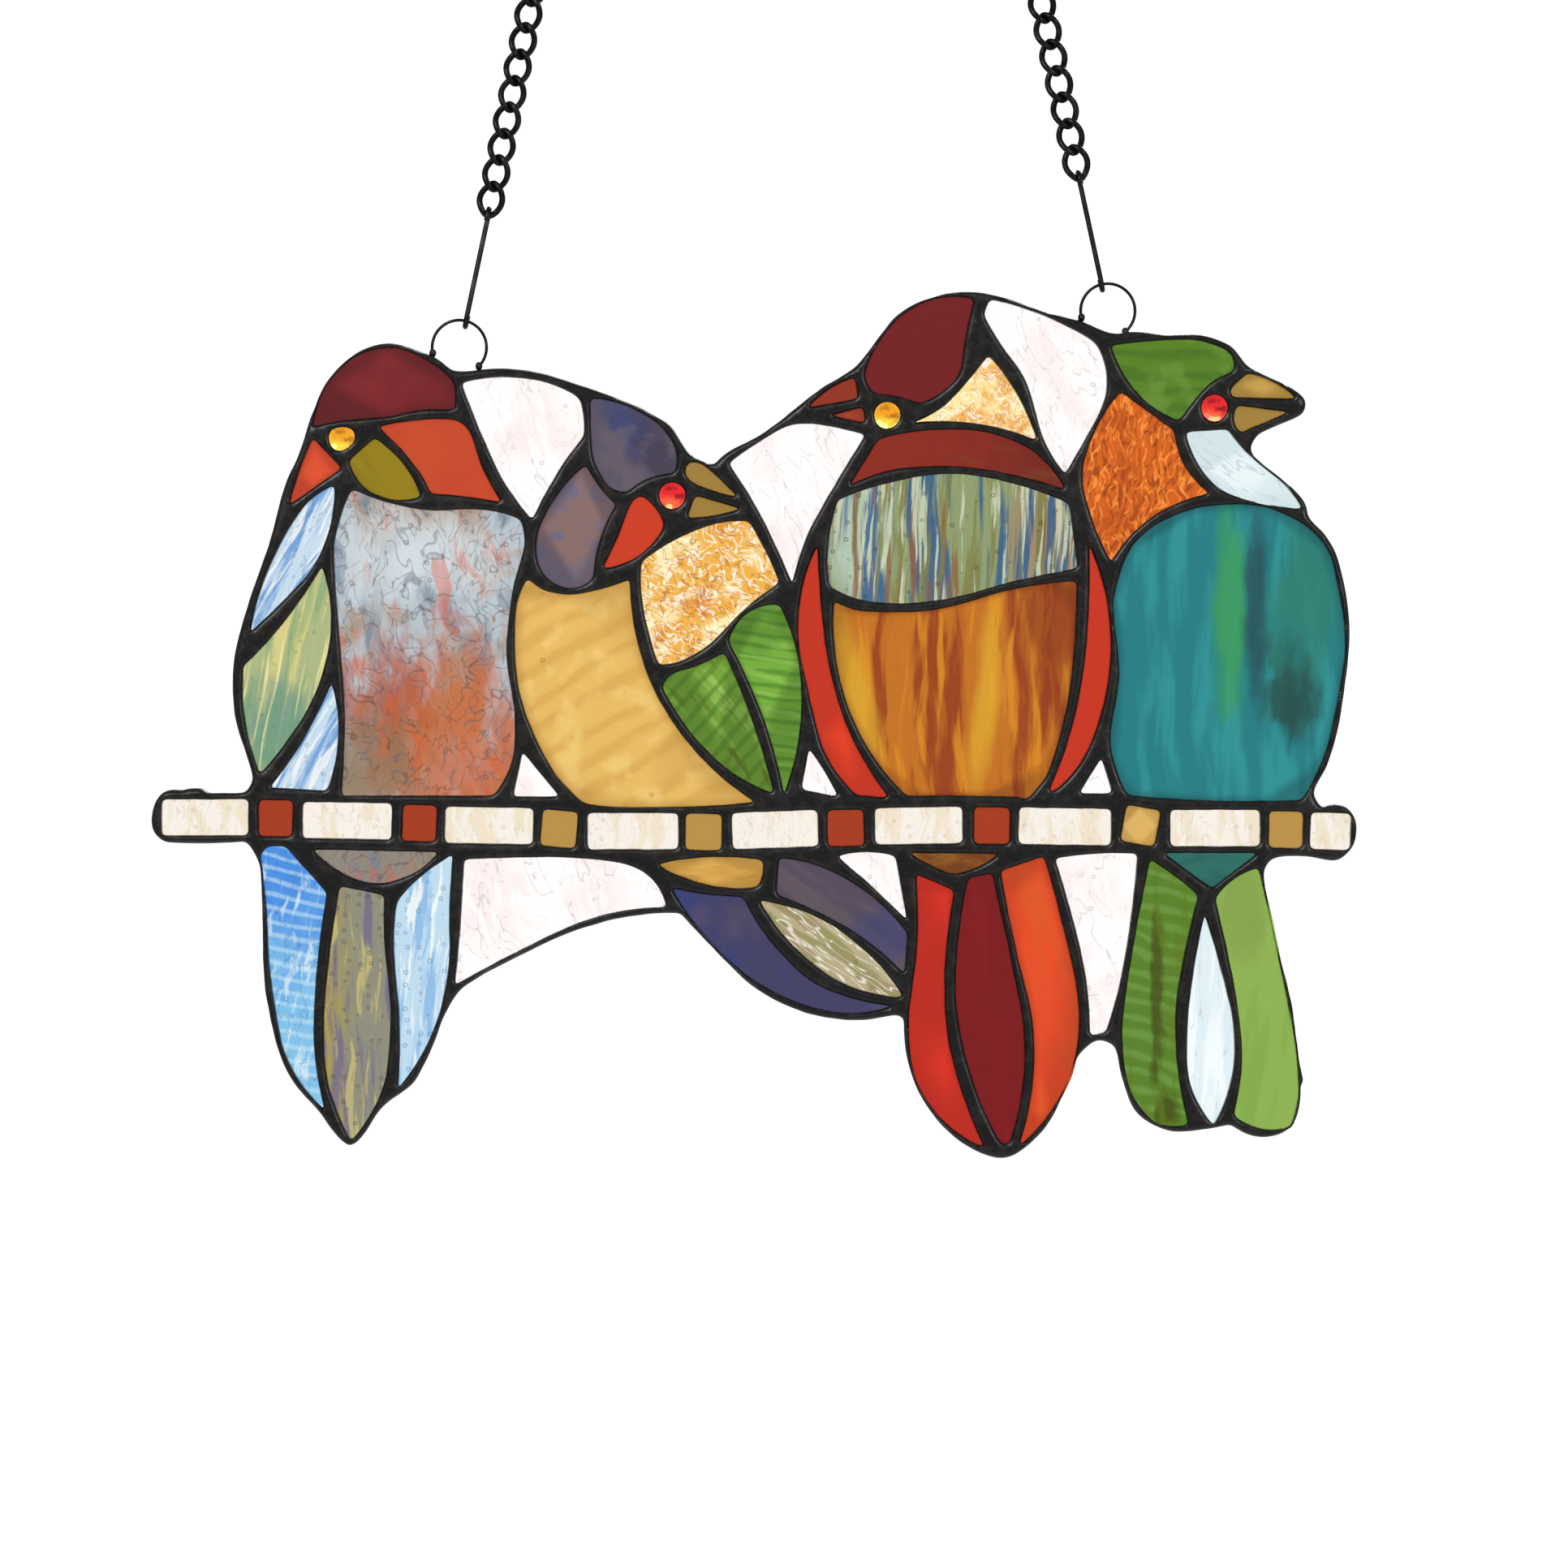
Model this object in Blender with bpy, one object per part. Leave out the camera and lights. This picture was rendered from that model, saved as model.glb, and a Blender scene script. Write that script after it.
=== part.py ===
"""Stained glass suncatcher: four birds on a tiled perch, soldered in copper foil and hung on two chains."""

import math

import bmesh
import bpy
from mathutils import Matrix, Vector

# Sizes in metres. The panel hangs in the XZ plane, +Z is up and its front faces -Y.
PERCH_LENGTH = 0.300
GLASS_THICKNESS = 0.0030
SOLDER_THICKNESS = 0.0044
GAP = 0.0003
HOOK_GAP = 0.0005
CURVE_ERROR = 0.0003
FLAT_ANGLE = math.radians(0.5)
GEM_RADIUS = 0.0032
GEM_TABLE_RADIUS = 0.0021
GEM_RISE = 0.0007
RING_RADIUS = 0.0068
RING_WIRE = 0.0007
LONG_HOOK_WIRE = 0.0012
LONG_HOOK_BEND = 0.0023
TOP_HOOK_WIRE = 0.0013
TOP_HOOK_LOW_BEND = 0.0024
TOP_HOOK_CROOK = 0.0052
LINK_PITCH = 0.00675
LINK_WIDTH = 0.0070
LINK_WIRE = 0.0014
LINK_OVERLAP = 0.0004
LINK_TWIST = math.radians(90)

# The pattern is drawn on squared paper. Its squares count to the right and down, as on the paper.
PERCH_SQUARES = 1478
SQUARE = PERCH_LENGTH / PERCH_SQUARES
PERCH_TILE_HEIGHT = 44
HOOK_CROWN_ROW = -150

# Glass colours, as seen against the light.
GLASS_COLOURS = {
    "clear": "F6F2EF",
    "dark_red": "7A1A1E",
    "flame_red": "DE3A1E",
    "blood_red": "A01417",
    "gem_red": "E0202A",
    "orange": "E0552A",
    "orange_ripple": "DB6A1C",
    "red_brown": "97291C",
    "terracotta": "C8461F",
    "amber": "CC7A1E",
    "gem_amber": "FFB62A",
    "gold_ripple": "F2C060",
    "cream": "E6BE65",
    "tan": "DDB463",
    "olive": "A8850F",
    "leaf_green": "6FA83A",
    "light_green": "A2C75C",
    "moss_streaky": "6F8F24",
    "grey_blue_streaky": "9B9A8C",
    "striped_streaky": "7D8058",
    "reed_streaky": "A8A078",
    "teal": "1F7F80",
    "sea_blue": "3F86DE",
    "pale_blue": "C9DDEB",
    "ice_blue": "E2F1F5",
    "violet": "5A5278",
    "olive_violet": "6E6450",
    "white": "F3EDE2",
}
SOLDER_COLOUR = "1E1B1A"
CHAIN_COLOUR = "1B1817"

# An outline is a list of sides. Each side lists the corner that it starts from and the squares that its curve
# runs through, and it ends at the next side's corner.
BIRD_ONE = {
    "bird_one_crown": ("dark_red", [
        [(386, 526), (392, 500), (413, 462), (445, 436), (485, 429), (530, 447)],
        [(558, 470), (561, 488)],
        [(560, 505), (520, 505), (480, 513), (430, 517)],
    ]),
    "bird_one_face": ("orange", [[(386, 540)], [(421, 577), (400, 592)], [(357, 622), (368, 585)]]),
    "bird_one_throat": ("olive", [
        [(462, 540), (492, 566)],
        [(519, 612), (480, 615), (448, 599)],
        [(430, 568)],
    ]),
    "bird_one_cheek": ("orange", [
        [(467, 526), (515, 518)],
        [(560, 517)],
        [(578, 532), (592, 572)],
        [(618, 619), (585, 613)],
        [(531, 608), (515, 578), (490, 550)],
    ]),
    "bird_one_wing_upper": ("pale_blue", [
        [(412, 598), (405, 655), (385, 700), (348, 740)],
        [(309, 779), (326, 715), (352, 660), (388, 612)],
    ]),
    "bird_one_wing_middle": ("reed_streaky", [
        [(397, 698), (408, 765)],
        [(402, 812), (385, 862), (350, 918)],
        [(321, 953), (303, 890)],
        [(301, 820), (335, 785), (370, 740)],
    ]),
    "bird_one_wing_lower": ("pale_blue", [[(409, 842), (417, 905)], [(403, 974)], [(333, 970), (368, 922)]]),
    "bird_one_body": ("grey_blue_streaky", [
        [(434, 603), (412, 680), (414, 725), (422, 810), (425, 900)],
        [(421, 980)],
        [(608, 980), (630, 940), (634, 885), (624, 805), (632, 725), (646, 662)],
        [(641, 640), (600, 629), (520, 628), (470, 617)],
    ]),
    "bird_one_vent": ("grey_blue_streaky", [
        [(386, 1047)],
        [(540, 1050), (505, 1078), (460, 1088), (415, 1070)],
    ]),
    "bird_one_tail_left": ("sea_blue", [
        [(330, 1043)],
        [(352, 1043)],
        [(403, 1100), (390, 1200), (388, 1300)],
        [(400, 1367), (362, 1320), (335, 1210), (328, 1110)],
        [(321, 1053)],
    ]),
    "bird_one_tail_middle": ("olive_violet", [
        [(419, 1092)],
        [(474, 1103), (473, 1145), (481, 1250), (468, 1350)],
        [(433, 1405), (405, 1335), (400, 1250), (408, 1170)],
    ]),
    "bird_one_tail_right": ("pale_blue", [
        [(558, 1053), (554, 1110), (552, 1195), (533, 1272)],
        [(491, 1340), (493, 1265), (486, 1160)],
        [(490, 1110), (525, 1075)],
    ]),
}
BIRD_TWO = {
    "bird_two_crown": ("violet", [
        [(728, 491), (780, 504), (818, 530), (834, 563)],
        [(831, 583), (800, 589)],
        [(773, 606)],
        [(752, 600), (732, 565), (729, 525)],
    ]),
    "bird_two_nape": ("violet", [
        [(722, 573), (736, 597)],
        [(759, 622), (739, 665)],
        [(731, 713), (702, 725), (668, 704), (661, 672), (682, 618)],
    ]),
    "bird_two_cheek": ("flame_red", [
        [(790, 611), (803, 621)],
        [(818, 648), (797, 677)],
        [(743, 700), (766, 652)],
        [(778, 620)],
    ]),
    "bird_two_chest": ("gold_ripple", [
        [(791, 692), (835, 664), (880, 646)],
        [(922, 642), (948, 690)],
        [(960, 718), (912, 755), (872, 795), (845, 812)],
        [(812, 819), (797, 768), (790, 725)],
    ]),
    "bird_two_body": ("cream", [
        [(650, 713), (672, 728), (702, 733), (738, 727)],
        [(776, 714), (780, 765), (798, 832), (850, 918), (888, 957)],
        [(930, 988), (860, 993)],
        [(725, 990), (690, 960), (662, 912), (640, 850), (635, 790), (640, 735)],
    ]),
    "bird_two_wing_left": ("moss_streaky", [
        [(892, 804), (918, 865), (940, 930)],
        [(953, 977), (905, 953), (858, 910), (828, 868)],
        [(816, 846), (824, 834), (858, 821)],
    ]),
    "bird_two_wing_right": ("leaf_green", [
        [(898, 790), (925, 845), (949, 908)],
        [(966, 978), (982, 920), (987, 855), (977, 787)],
        [(960, 745), (925, 753)],
    ]),
    "bird_two_vent": ("tan", [
        [(810, 1065), (835, 1060)],
        [(940, 1060), (939, 1078)],
        [(934, 1092), (915, 1094), (850, 1083)],
    ]),
    "bird_two_tail_lower": ("violet", [
        [(828, 1094), (870, 1102)],
        [(915, 1105), (958, 1170), (1005, 1212), (1050, 1230)],
        [(1100, 1239), (1050, 1248), (990, 1237), (925, 1204), (872, 1156)],
    ]),
    "bird_two_tail_middle": ("reed_streaky", [
        [(936, 1109), (1010, 1132), (1075, 1180)],
        [(1112, 1228), (1040, 1211), (985, 1172)],
    ]),
    "bird_two_tail_upper": ("violet", [
        [(960, 1057), (1005, 1066), (1060, 1094)],
        [(1118, 1151)],
        [(1114, 1199), (1070, 1160), (1010, 1124)],
        [(957, 1102)],
    ]),
}
BIRD_THREE = {
    "bird_three_crown": ("dark_red", [
        [(1200, 369), (1160, 367), (1110, 390), (1074, 440), (1066, 466)],
        [(1079, 485), (1108, 489)],
        [(1133, 497), (1160, 483)],
        [(1181, 461), (1190, 410)],
    ]),
    "bird_three_cheek": ("gold_ripple", [
        [(1218, 438), (1252, 485)],
        [(1277, 542), (1235, 528), (1190, 520)],
        [(1125, 521), (1170, 495), (1200, 459)],
    ]),
    "bird_three_collar": ("red_brown", [
        [(1083, 541), (1150, 530), (1215, 533), (1275, 558)],
        [(1312, 603), (1250, 585), (1150, 574), (1090, 581)],
        [(1047, 598), (1063, 570)],
    ]),
    "bird_three_chest": ("striped_streaky", [
        [(1033, 616), (1100, 594), (1175, 584), (1245, 595)],
        [(1317, 621), (1322, 665)],
        [(1327, 700), (1245, 717), (1170, 737), (1100, 743), (1055, 737)],
        [(1022, 722), (1021, 670)],
    ]),
    "bird_three_belly": ("amber", [
        [(1028, 741), (1048, 750), (1095, 755), (1160, 750), (1240, 728)],
        [(1326, 716), (1323, 800), (1307, 900), (1286, 960)],
        [(1264, 985)],
        [(1250, 981)],
        [(1117, 980), (1075, 930), (1040, 855), (1028, 790)],
    ]),
    "bird_three_wing_left": ("flame_red", [
        [(1007, 673), (1011, 740), (1022, 825), (1050, 910)],
        [(1094, 982)],
        [(1055, 979), (1018, 930), (999, 860), (984, 785), (990, 720)],
    ]),
    "bird_three_wing_right": ("flame_red", [
        [(1342, 672), (1362, 735), (1368, 795), (1358, 872), (1327, 945)],
        [(1302, 972)],
        [(1292, 975), (1320, 900), (1339, 790), (1342, 720)],
    ]),
    "bird_three_vent": ("amber", [[(1121, 1051)], [(1230, 1052), (1202, 1069), (1178, 1076), (1150, 1067)]]),
    "bird_three_tail_left": ("flame_red", [
        [(1129, 1077)],
        [(1175, 1097), (1164, 1190), (1167, 1275), (1188, 1355)],
        [(1212, 1413), (1165, 1383), (1130, 1333), (1120, 1255), (1130, 1170)],
    ]),
    "bird_three_tail_middle": ("blood_red", [
        [(1193, 1082)],
        [(1222, 1076), (1240, 1165), (1261, 1270), (1258, 1350)],
        [(1243, 1409)],
        [(1233, 1408), (1200, 1335), (1178, 1230), (1183, 1140)],
    ]),
    "bird_three_tail_right": ("orange", [
        [(1233, 1073)],
        [(1286, 1055), (1300, 1110), (1321, 1190), (1329, 1255), (1318, 1325), (1290, 1375)],
        [(1256, 1411), (1272, 1340), (1273, 1265), (1252, 1170)],
    ]),
}
BIRD_FOUR = {
    "bird_four_head": ("leaf_green", [
        [(1369, 426), (1430, 420), (1485, 422), (1518, 440)],
        [(1519, 458), (1485, 477), (1466, 502)],
        [(1453, 518), (1410, 493), (1384, 460)],
    ]),
    "bird_four_nape": ("orange_ripple", [
        [(1381, 483), (1415, 508)],
        [(1446, 531), (1458, 572)],
        [(1490, 608), (1430, 630), (1394, 658)],
        [(1369, 692), (1342, 628), (1334, 592), (1350, 530)],
    ]),
    "bird_four_throat": ("ice_blue", [
        [(1461, 533)],
        [(1512, 529), (1540, 562), (1582, 597)],
        [(1604, 627), (1545, 618), (1500, 600), (1475, 570)],
    ]),
    "bird_four_body": ("teal", [
        [(1389, 979), (1369, 920), (1379, 830), (1373, 735), (1400, 667), (1455, 632), (1505, 622),
         (1585, 634), (1632, 672), (1650, 735), (1657, 785), (1648, 860), (1633, 925)],
        [(1604, 985), (1500, 986)],
    ]),
    "bird_four_vent": ("teal", [[(1434, 1051)], [(1549, 1051)], [(1493, 1094)]]),
    "bird_four_tail_left": ("moss_streaky", [
        [(1417, 1059), (1445, 1078)],
        [(1476, 1103), (1462, 1160), (1448, 1250), (1451, 1320)],
        [(1464, 1385), (1425, 1383), (1397, 1352), (1383, 1280), (1391, 1200), (1408, 1105)],
    ]),
    "bird_four_tail_middle": ("ice_blue", [
        [(1484, 1127), (1500, 1187), (1518, 1255), (1518, 1322)],
        [(1495, 1386), (1468, 1340), (1463, 1268), (1472, 1190)],
    ]),
    "bird_four_tail_right": ("light_green", [
        [(1550, 1069), (1563, 1125), (1582, 1215), (1597, 1300), (1599, 1350)],
        [(1590, 1388), (1555, 1390)],
        [(1520, 1374), (1530, 1310), (1524, 1235), (1503, 1135)],
        [(1497, 1107), (1522, 1082)],
    ]),
}
CLEAR_PANES = {
    "clear_between_heads_one_two": ("clear", [
        [(569, 472), (625, 465), (690, 478), (714, 493), (719, 515)],
        [(720, 537), (690, 577), (668, 618)],
        [(656, 640), (615, 582), (590, 525)],
    ]),
    "clear_between_heads_two_three": ("clear", [
        [(898, 571), (940, 542), (975, 524), (1030, 527)],
        [(1066, 536), (1035, 588), (995, 658)],
        [(976, 719), (955, 670), (925, 612)],
    ]),
    "clear_between_heads_three_four": ("clear", [
        [(1220, 369), (1280, 387)],
        [(1348, 422), (1362, 455), (1362, 485), (1335, 542)],
        [(1312, 584), (1288, 545), (1264, 470), (1228, 416)],
        [(1212, 388)],
    ]),
    "clear_triangle_one_two": ("clear", [[(644, 927)], [(689, 981)], [(633, 981)]]),
    "clear_triangle_two_three": ("clear", [[(997, 923), (1012, 945)], [(1032, 981)], [(988, 972)]]),
    "clear_triangle_three_four": ("clear", [[(1357, 934)], [(1370, 977)], [(1330, 977)]]),
    "clear_below_perch_one_two": ("clear", [
        [(572, 1059), (650, 1056), (740, 1060)],
        [(762, 1063), (803, 1083)],
        [(821, 1117), (740, 1128), (665, 1158), (610, 1188)],
        [(561, 1213), (567, 1150)],
    ]),
    "clear_below_perch_two_three": ("clear", [
        [(1032, 1055), (1070, 1050)],
        [(1103, 1055), (1110, 1100)],
        [(1117, 1133), (1080, 1097)],
    ]),
    "clear_below_perch_three_four": ("clear", [
        [(1300, 1058), (1350, 1052)],
        [(1401, 1052), (1393, 1130), (1372, 1240)],
        [(1362, 1272)],
        [(1343, 1275), (1338, 1205), (1320, 1125)],
    ]),
}
PANES = {**BIRD_ONE, **BIRD_TWO, **BIRD_THREE, **BIRD_FOUR, **CLEAR_PANES}

# Beak slips, which lie in the solder with the perch tiles.
BEAKS = [
    [[(848, 570), (862, 571), (885, 591)], [(908, 612), (878, 604)], [(851, 592)], [(844, 579)]],
    [[(857, 611)], [(912, 627), (880, 635)], [(847, 638)]],
    [[(1053, 465)], [(1057, 491), (1030, 495)], [(996, 502), (1012, 487)]],
    [[(1063, 502)], [(1066, 521)], [(1024, 512)]],
    [[(1537, 460), (1560, 467)], [(1597, 491)], [(1517, 489)], [(1515, 480)]],
    [[(1524, 500)], [(1587, 508), (1555, 521)], [(1528, 533), (1520, 515)]],
]
EYES = [(422, 541), (828, 611), (1093, 512), (1496, 503)]

# Perch tiles from left to right: the middle of each, its width, and how far it is turned, in degrees.
PERCH_TILES = [
    (253, 1007, 106, 0),
    (340, 1008, 41, 1),
    (428, 1011, 109, 1),
    (517, 1014, 41, 2),
    (603, 1017, 108, 1),
    (689, 1021, 43, 5),
    (780, 1024, 111, 0),
    (867, 1025, 44, 1),
    (955, 1022, 105, -2),
    (1042, 1020, 44, -1),
    (1132, 1017, 107, -1),
    (1222, 1017, 43, 1),
    (1312, 1018, 113, 1),
    (1405, 1017, 42, 10),
    (1497, 1020, 110, 0),
    (1584, 1022, 41, 1),
    (1639, 1024, 49, 2),
]

# The outer edge of the soldered panel, clockwise from where the perch meets the first bird's back.
PANEL_EDGE = [
    [(302, 977), (311, 962), (305, 935), (290, 885), (289, 810), (303, 754), (331, 672), (343, 630), (352, 596),
     (369, 558), (387, 505), (411, 462), (445, 432), (478, 423), (515, 432), (538, 441)],
    [(562, 457), (600, 454), (640, 455), (690, 466), (730, 481), (790, 502), (825, 523), (848, 557)],
    [(880, 573)],
    [(895, 558), (940, 534), (975, 507), (1010, 480), (1057, 449), (1078, 420), (1110, 385), (1150, 366),
     (1197, 359), (1240, 367), (1290, 385)],
    [(1320, 392)],
    [(1335, 396)],
    [(1370, 410), (1398, 408), (1430, 412), (1480, 413), (1512, 423), (1527, 436)],
    [(1538, 451), (1570, 468), (1596, 481), (1609, 495), (1606, 508), (1583, 521), (1547, 539), (1541, 551),
     (1568, 582), (1594, 603), (1608, 620)],
    [(1613, 638), (1640, 670), (1657, 725), (1663, 780), (1657, 840), (1648, 900), (1633, 948), (1619, 978)],
    [(1628, 995), (1655, 992), (1669, 1008), (1668, 1040), (1652, 1058), (1600, 1055), (1563, 1062)],
    [(1557, 1078), (1573, 1165), (1592, 1240), (1600, 1302)],
    [(1607, 1334)],
    [(1602, 1336), (1601, 1362), (1590, 1389), (1555, 1401)],
    [(1516, 1385), (1480, 1392), (1440, 1393), (1402, 1373), (1382, 1325), (1370, 1287), (1352, 1282),
     (1330, 1300), (1312, 1345), (1283, 1395), (1236, 1427), (1190, 1411), (1142, 1363), (1119, 1310)],
    [(1114, 1256)],
    [(1104, 1251), (1060, 1257), (1000, 1250), (930, 1217), (880, 1170)],
    [(838, 1125), (760, 1132), (690, 1154), (630, 1185)],
    [(573, 1215), (553, 1241), (532, 1292), (508, 1336), (474, 1361), (446, 1400), (433, 1412), (418, 1402),
     (396, 1373), (355, 1323), (334, 1258), (324, 1190), (322, 1110), (318, 1060)],
    [(303, 1037)],
    [(205, 1038), (190, 1025), (190, 992), (201, 976)],
    [(226, 975)],
    [(230, 971)],
    [(251, 971)],
    [(256, 977)],
]

# Each side's wire ring: its middle on the paper, the angles at which its two feet meet the solder, and the angle at
# which its hook holds it.
RINGS = {
    "left": ((566, 428), math.radians(-36), math.radians(186), math.radians(75)),
    "right": ((1365, 383), math.radians(-40), math.radians(186), math.radians(104)),
}

# Each side's chain: its lowest link and the highest one that is drawn, and how many links it has.
CHAINS = {
    "left": ((605, 246), (651, 18), 9),
    "right": ((1326, 201), (1283, 2), 8),
}


def linear_colour(code):
    """The linear colour of a code of three pairs of hexadecimal digits."""
    channels = [int(code[place:place + 2], 16) / 255 for place in (0, 2, 4)]
    return [value / 12.92 if value < 0.04045 else ((value + 0.055) / 1.055) ** 2.4 for value in channels] + [1]


def finish(name, code, roughness, metallic=0.0, transmission=0.0):
    """A plain material for one piece."""
    material = bpy.data.materials.new(name)
    material.use_nodes = True
    shader = material.node_tree.nodes["Principled BSDF"]
    shader.inputs["Base Color"].default_value = linear_colour(code)
    shader.inputs["Roughness"].default_value = roughness
    shader.inputs["Metallic"].default_value = metallic
    shader.inputs["Transmission Weight"].default_value = transmission
    return material


def glass_finish(name, kind):
    return finish(name, GLASS_COLOURS[kind], roughness=0.08, transmission=0.9)


def metal_finish(name, code=CHAIN_COLOUR):
    return finish(name, code, roughness=0.4, metallic=0.8)


def on_paper(square):
    """The place of a square of the pattern, in metres across and up from the paper's corner."""
    return Vector((square[0], -square[1])) * SQUARE


def thinned(points, error):
    """The points without those that the straight line past them misses by less than the error."""
    start, end = points[0], points[-1]
    line = (end - start).normalized()
    misses = [abs(line.cross(point - start)) for point in points]
    most = max(misses)
    if most < error:
        return [start, end]
    middle = misses.index(most)
    return thinned(points[:middle + 1], error)[:-1] + thinned(points[middle:], error)


def smooth_curve(points, steps=16):
    """A curve through the points, whose slope at each one is that of the parabola through its neighbours."""
    if len(points) == 2:
        return points
    lengths = [(after - before).length for before, after in zip(points, points[1:])]
    slopes = [(after - before) / length for before, after, length in zip(points, points[1:], lengths)]
    tangents = [
        (slopes[i] * lengths[i + 1] + slopes[i + 1] * lengths[i]) / (lengths[i] + lengths[i + 1])
        for i in range(len(slopes) - 1)
    ]
    tangents = [2 * slopes[0] - tangents[0]] + tangents + [2 * slopes[-1] - tangents[-1]]
    curve = []
    for i, length in enumerate(lengths):
        for step in range(steps):
            t = step / steps
            curve.append(
                points[i] * (2 * t**3 - 3 * t**2 + 1)
                + tangents[i] * length * (t**3 - 2 * t**2 + t)
                + points[i + 1] * (3 * t**2 - 2 * t**3)
                + tangents[i + 1] * length * (t**3 - t**2)
            )
    return curve + [points[-1]]


def drawn(sides):
    """The closed outline of a list of sides, in metres on the paper."""
    outline = []
    for side, next_side in zip(sides, sides[1:] + sides[:1]):
        points = [on_paper(square) for square in side + next_side[:1]]
        outline += thinned(smooth_curve(points), CURVE_ERROR)[:-1]
    return outline


def tile_outline(middle_x, middle_y, width, turn):
    """The four corners of a perch tile, in metres on the paper."""
    turned = Matrix.Rotation(-math.radians(turn), 2)
    half = Vector((width, PERCH_TILE_HEIGHT)) * SQUARE / 2
    corners = [(-half.x, -half.y), (half.x, -half.y), (half.x, half.y), (-half.x, half.y)]
    return [on_paper((middle_x, middle_y)) + turned @ Vector(corner) for corner in corners]


def inset(outline, distance):
    """The outline moved inwards by a distance, each corner along the line that halves it."""
    pairs = list(zip(outline, outline[1:] + outline[:1]))
    turning = 1 if sum(start.cross(end) for start, end in pairs) > 0 else -1
    inward = [(end - start).orthogonal().normalized() * turning for start, end in pairs]
    moved = []
    for i, corner in enumerate(outline):
        halfway = inward[i - 1] + inward[i]
        moved.append(corner + halfway * (2 * distance / halfway.length_squared))
    return moved


def collection(name):
    made = bpy.data.collections.new(name)
    bpy.context.scene.collection.children.link(made)
    return made


def link_object(name, data, group, material=None):
    """A new object in a collection, with its material."""
    made = bpy.data.objects.new(name, data)
    group.objects.link(made)
    if material:
        made.data.materials.append(material)
    return made


def flat_solid(name, outlines, thickness, group, material=None, depth=0.0):
    """A plate with the outlines, standing in the XZ plane with its middle at the depth along Y."""
    curve = bpy.data.curves.new(name, "CURVE")
    curve.dimensions = "2D"
    curve.fill_mode = "BOTH"
    curve.extrude = thickness / 2
    for outline in outlines:
        spline = curve.splines.new("POLY")
        spline.points.add(len(outline) - 1)
        for point, place in zip(spline.points, outline):
            point.co = (place.x - ORIGIN.x, place.y - ORIGIN.y, 0, 1)
        spline.use_cyclic_u = True
    plate = link_object(name, curve, group, material)
    plate.location.y = depth
    plate.rotation_euler.x = math.pi / 2
    return plate


def wire(name, points, diameter, group, material=None, closed=False, sides=6):
    """A wire along the points, with filled ends. Its sides stand in for a round wire's section of the same area."""
    curve = bpy.data.curves.new(name, "CURVE")
    curve.dimensions = "3D"
    curve.bevel_depth = diameter / 2 * math.sqrt(2 * math.pi / (sides * math.sin(2 * math.pi / sides)))
    curve.bevel_resolution = (sides - 4) // 2
    curve.use_fill_caps = not closed
    spline = curve.splines.new("POLY")
    spline.points.add(len(points) - 1)
    for point, place in zip(spline.points, points):
        point.co = (*place, 1)
    spline.use_cyclic_u = closed
    return link_object(name, curve, group, material)


def made_mesh(piece):
    """The object with its curve turned into a welded mesh with whole flat faces, so that a Boolean can read it."""
    bpy.context.view_layer.update()
    mesh = bpy.data.meshes.new_from_object(piece.evaluated_get(bpy.context.evaluated_depsgraph_get()))
    model = bmesh.new()
    model.from_mesh(mesh)
    bmesh.ops.remove_doubles(model, verts=model.verts, dist=1e-6)
    bmesh.ops.dissolve_limit(model, angle_limit=FLAT_ANGLE, verts=model.verts, edges=model.edges)
    model.to_mesh(mesh)
    model.free()
    name = piece.name
    group = piece.users_collection[0]
    matrix = piece.matrix_world.copy()
    bpy.data.objects.remove(piece)
    mesh_object = link_object(name, mesh, group)
    mesh_object.matrix_world = matrix
    return mesh_object


def hide_helper(helper):
    helper.hide_render = True
    helper.display_type = "WIRE"


def combine(piece, helper, operation):
    """A Boolean of the piece with a hidden helper."""
    hide_helper(helper)
    boolean = piece.modifiers.new(helper.name, "BOOLEAN")
    boolean.operation = operation
    boolean.object = helper


def chain_direction(side):
    """The way up along a chain, on the paper."""
    lowest, highest, _ = CHAINS[side]
    return (on_paper(highest) - on_paper(lowest)).normalized()


def link_half_length():
    """From a link's middle to the middle of its end wire."""
    return (LINK_PITCH + LINK_WIRE - LINK_OVERLAP) / 2


def chain_end(side, top):
    """The middle of the end wire of a chain's lowest or highest link, on the paper."""
    lowest, _, count = CHAINS[side]
    up = chain_direction(side)
    reach = (count - 1) * LINK_PITCH + link_half_length() if top else -link_half_length()
    return on_paper(lowest) + up * reach


def crown(side):
    """The top of a hook's crook on the paper: it is in line with its chain, and level with the other one."""
    end = chain_end(side, top=True)
    up = chain_direction(side)
    return end + up * (on_paper((0, HOOK_CROWN_ROW)).y - end.y) / up.y


# The origin is where a rod would bear, on the underside of the left hook's crown.
ORIGIN = crown("left") - chain_direction("left") * TOP_HOOK_WIRE / 2


def in_space(place, depth=0.0):
    """A place on the paper as a point in space."""
    return Vector((place.x - ORIGIN.x, depth, place.y - ORIGIN.y))


def build_panes(group):
    """One pane of glass for each opening of the solder, a gap clear of it all round."""
    for name, (kind, sides) in PANES.items():
        outline = inset(drawn(sides), GAP)
        flat_solid(name, [outline], GLASS_THICKNESS, group, glass_finish(name + "_glass", kind))


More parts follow.
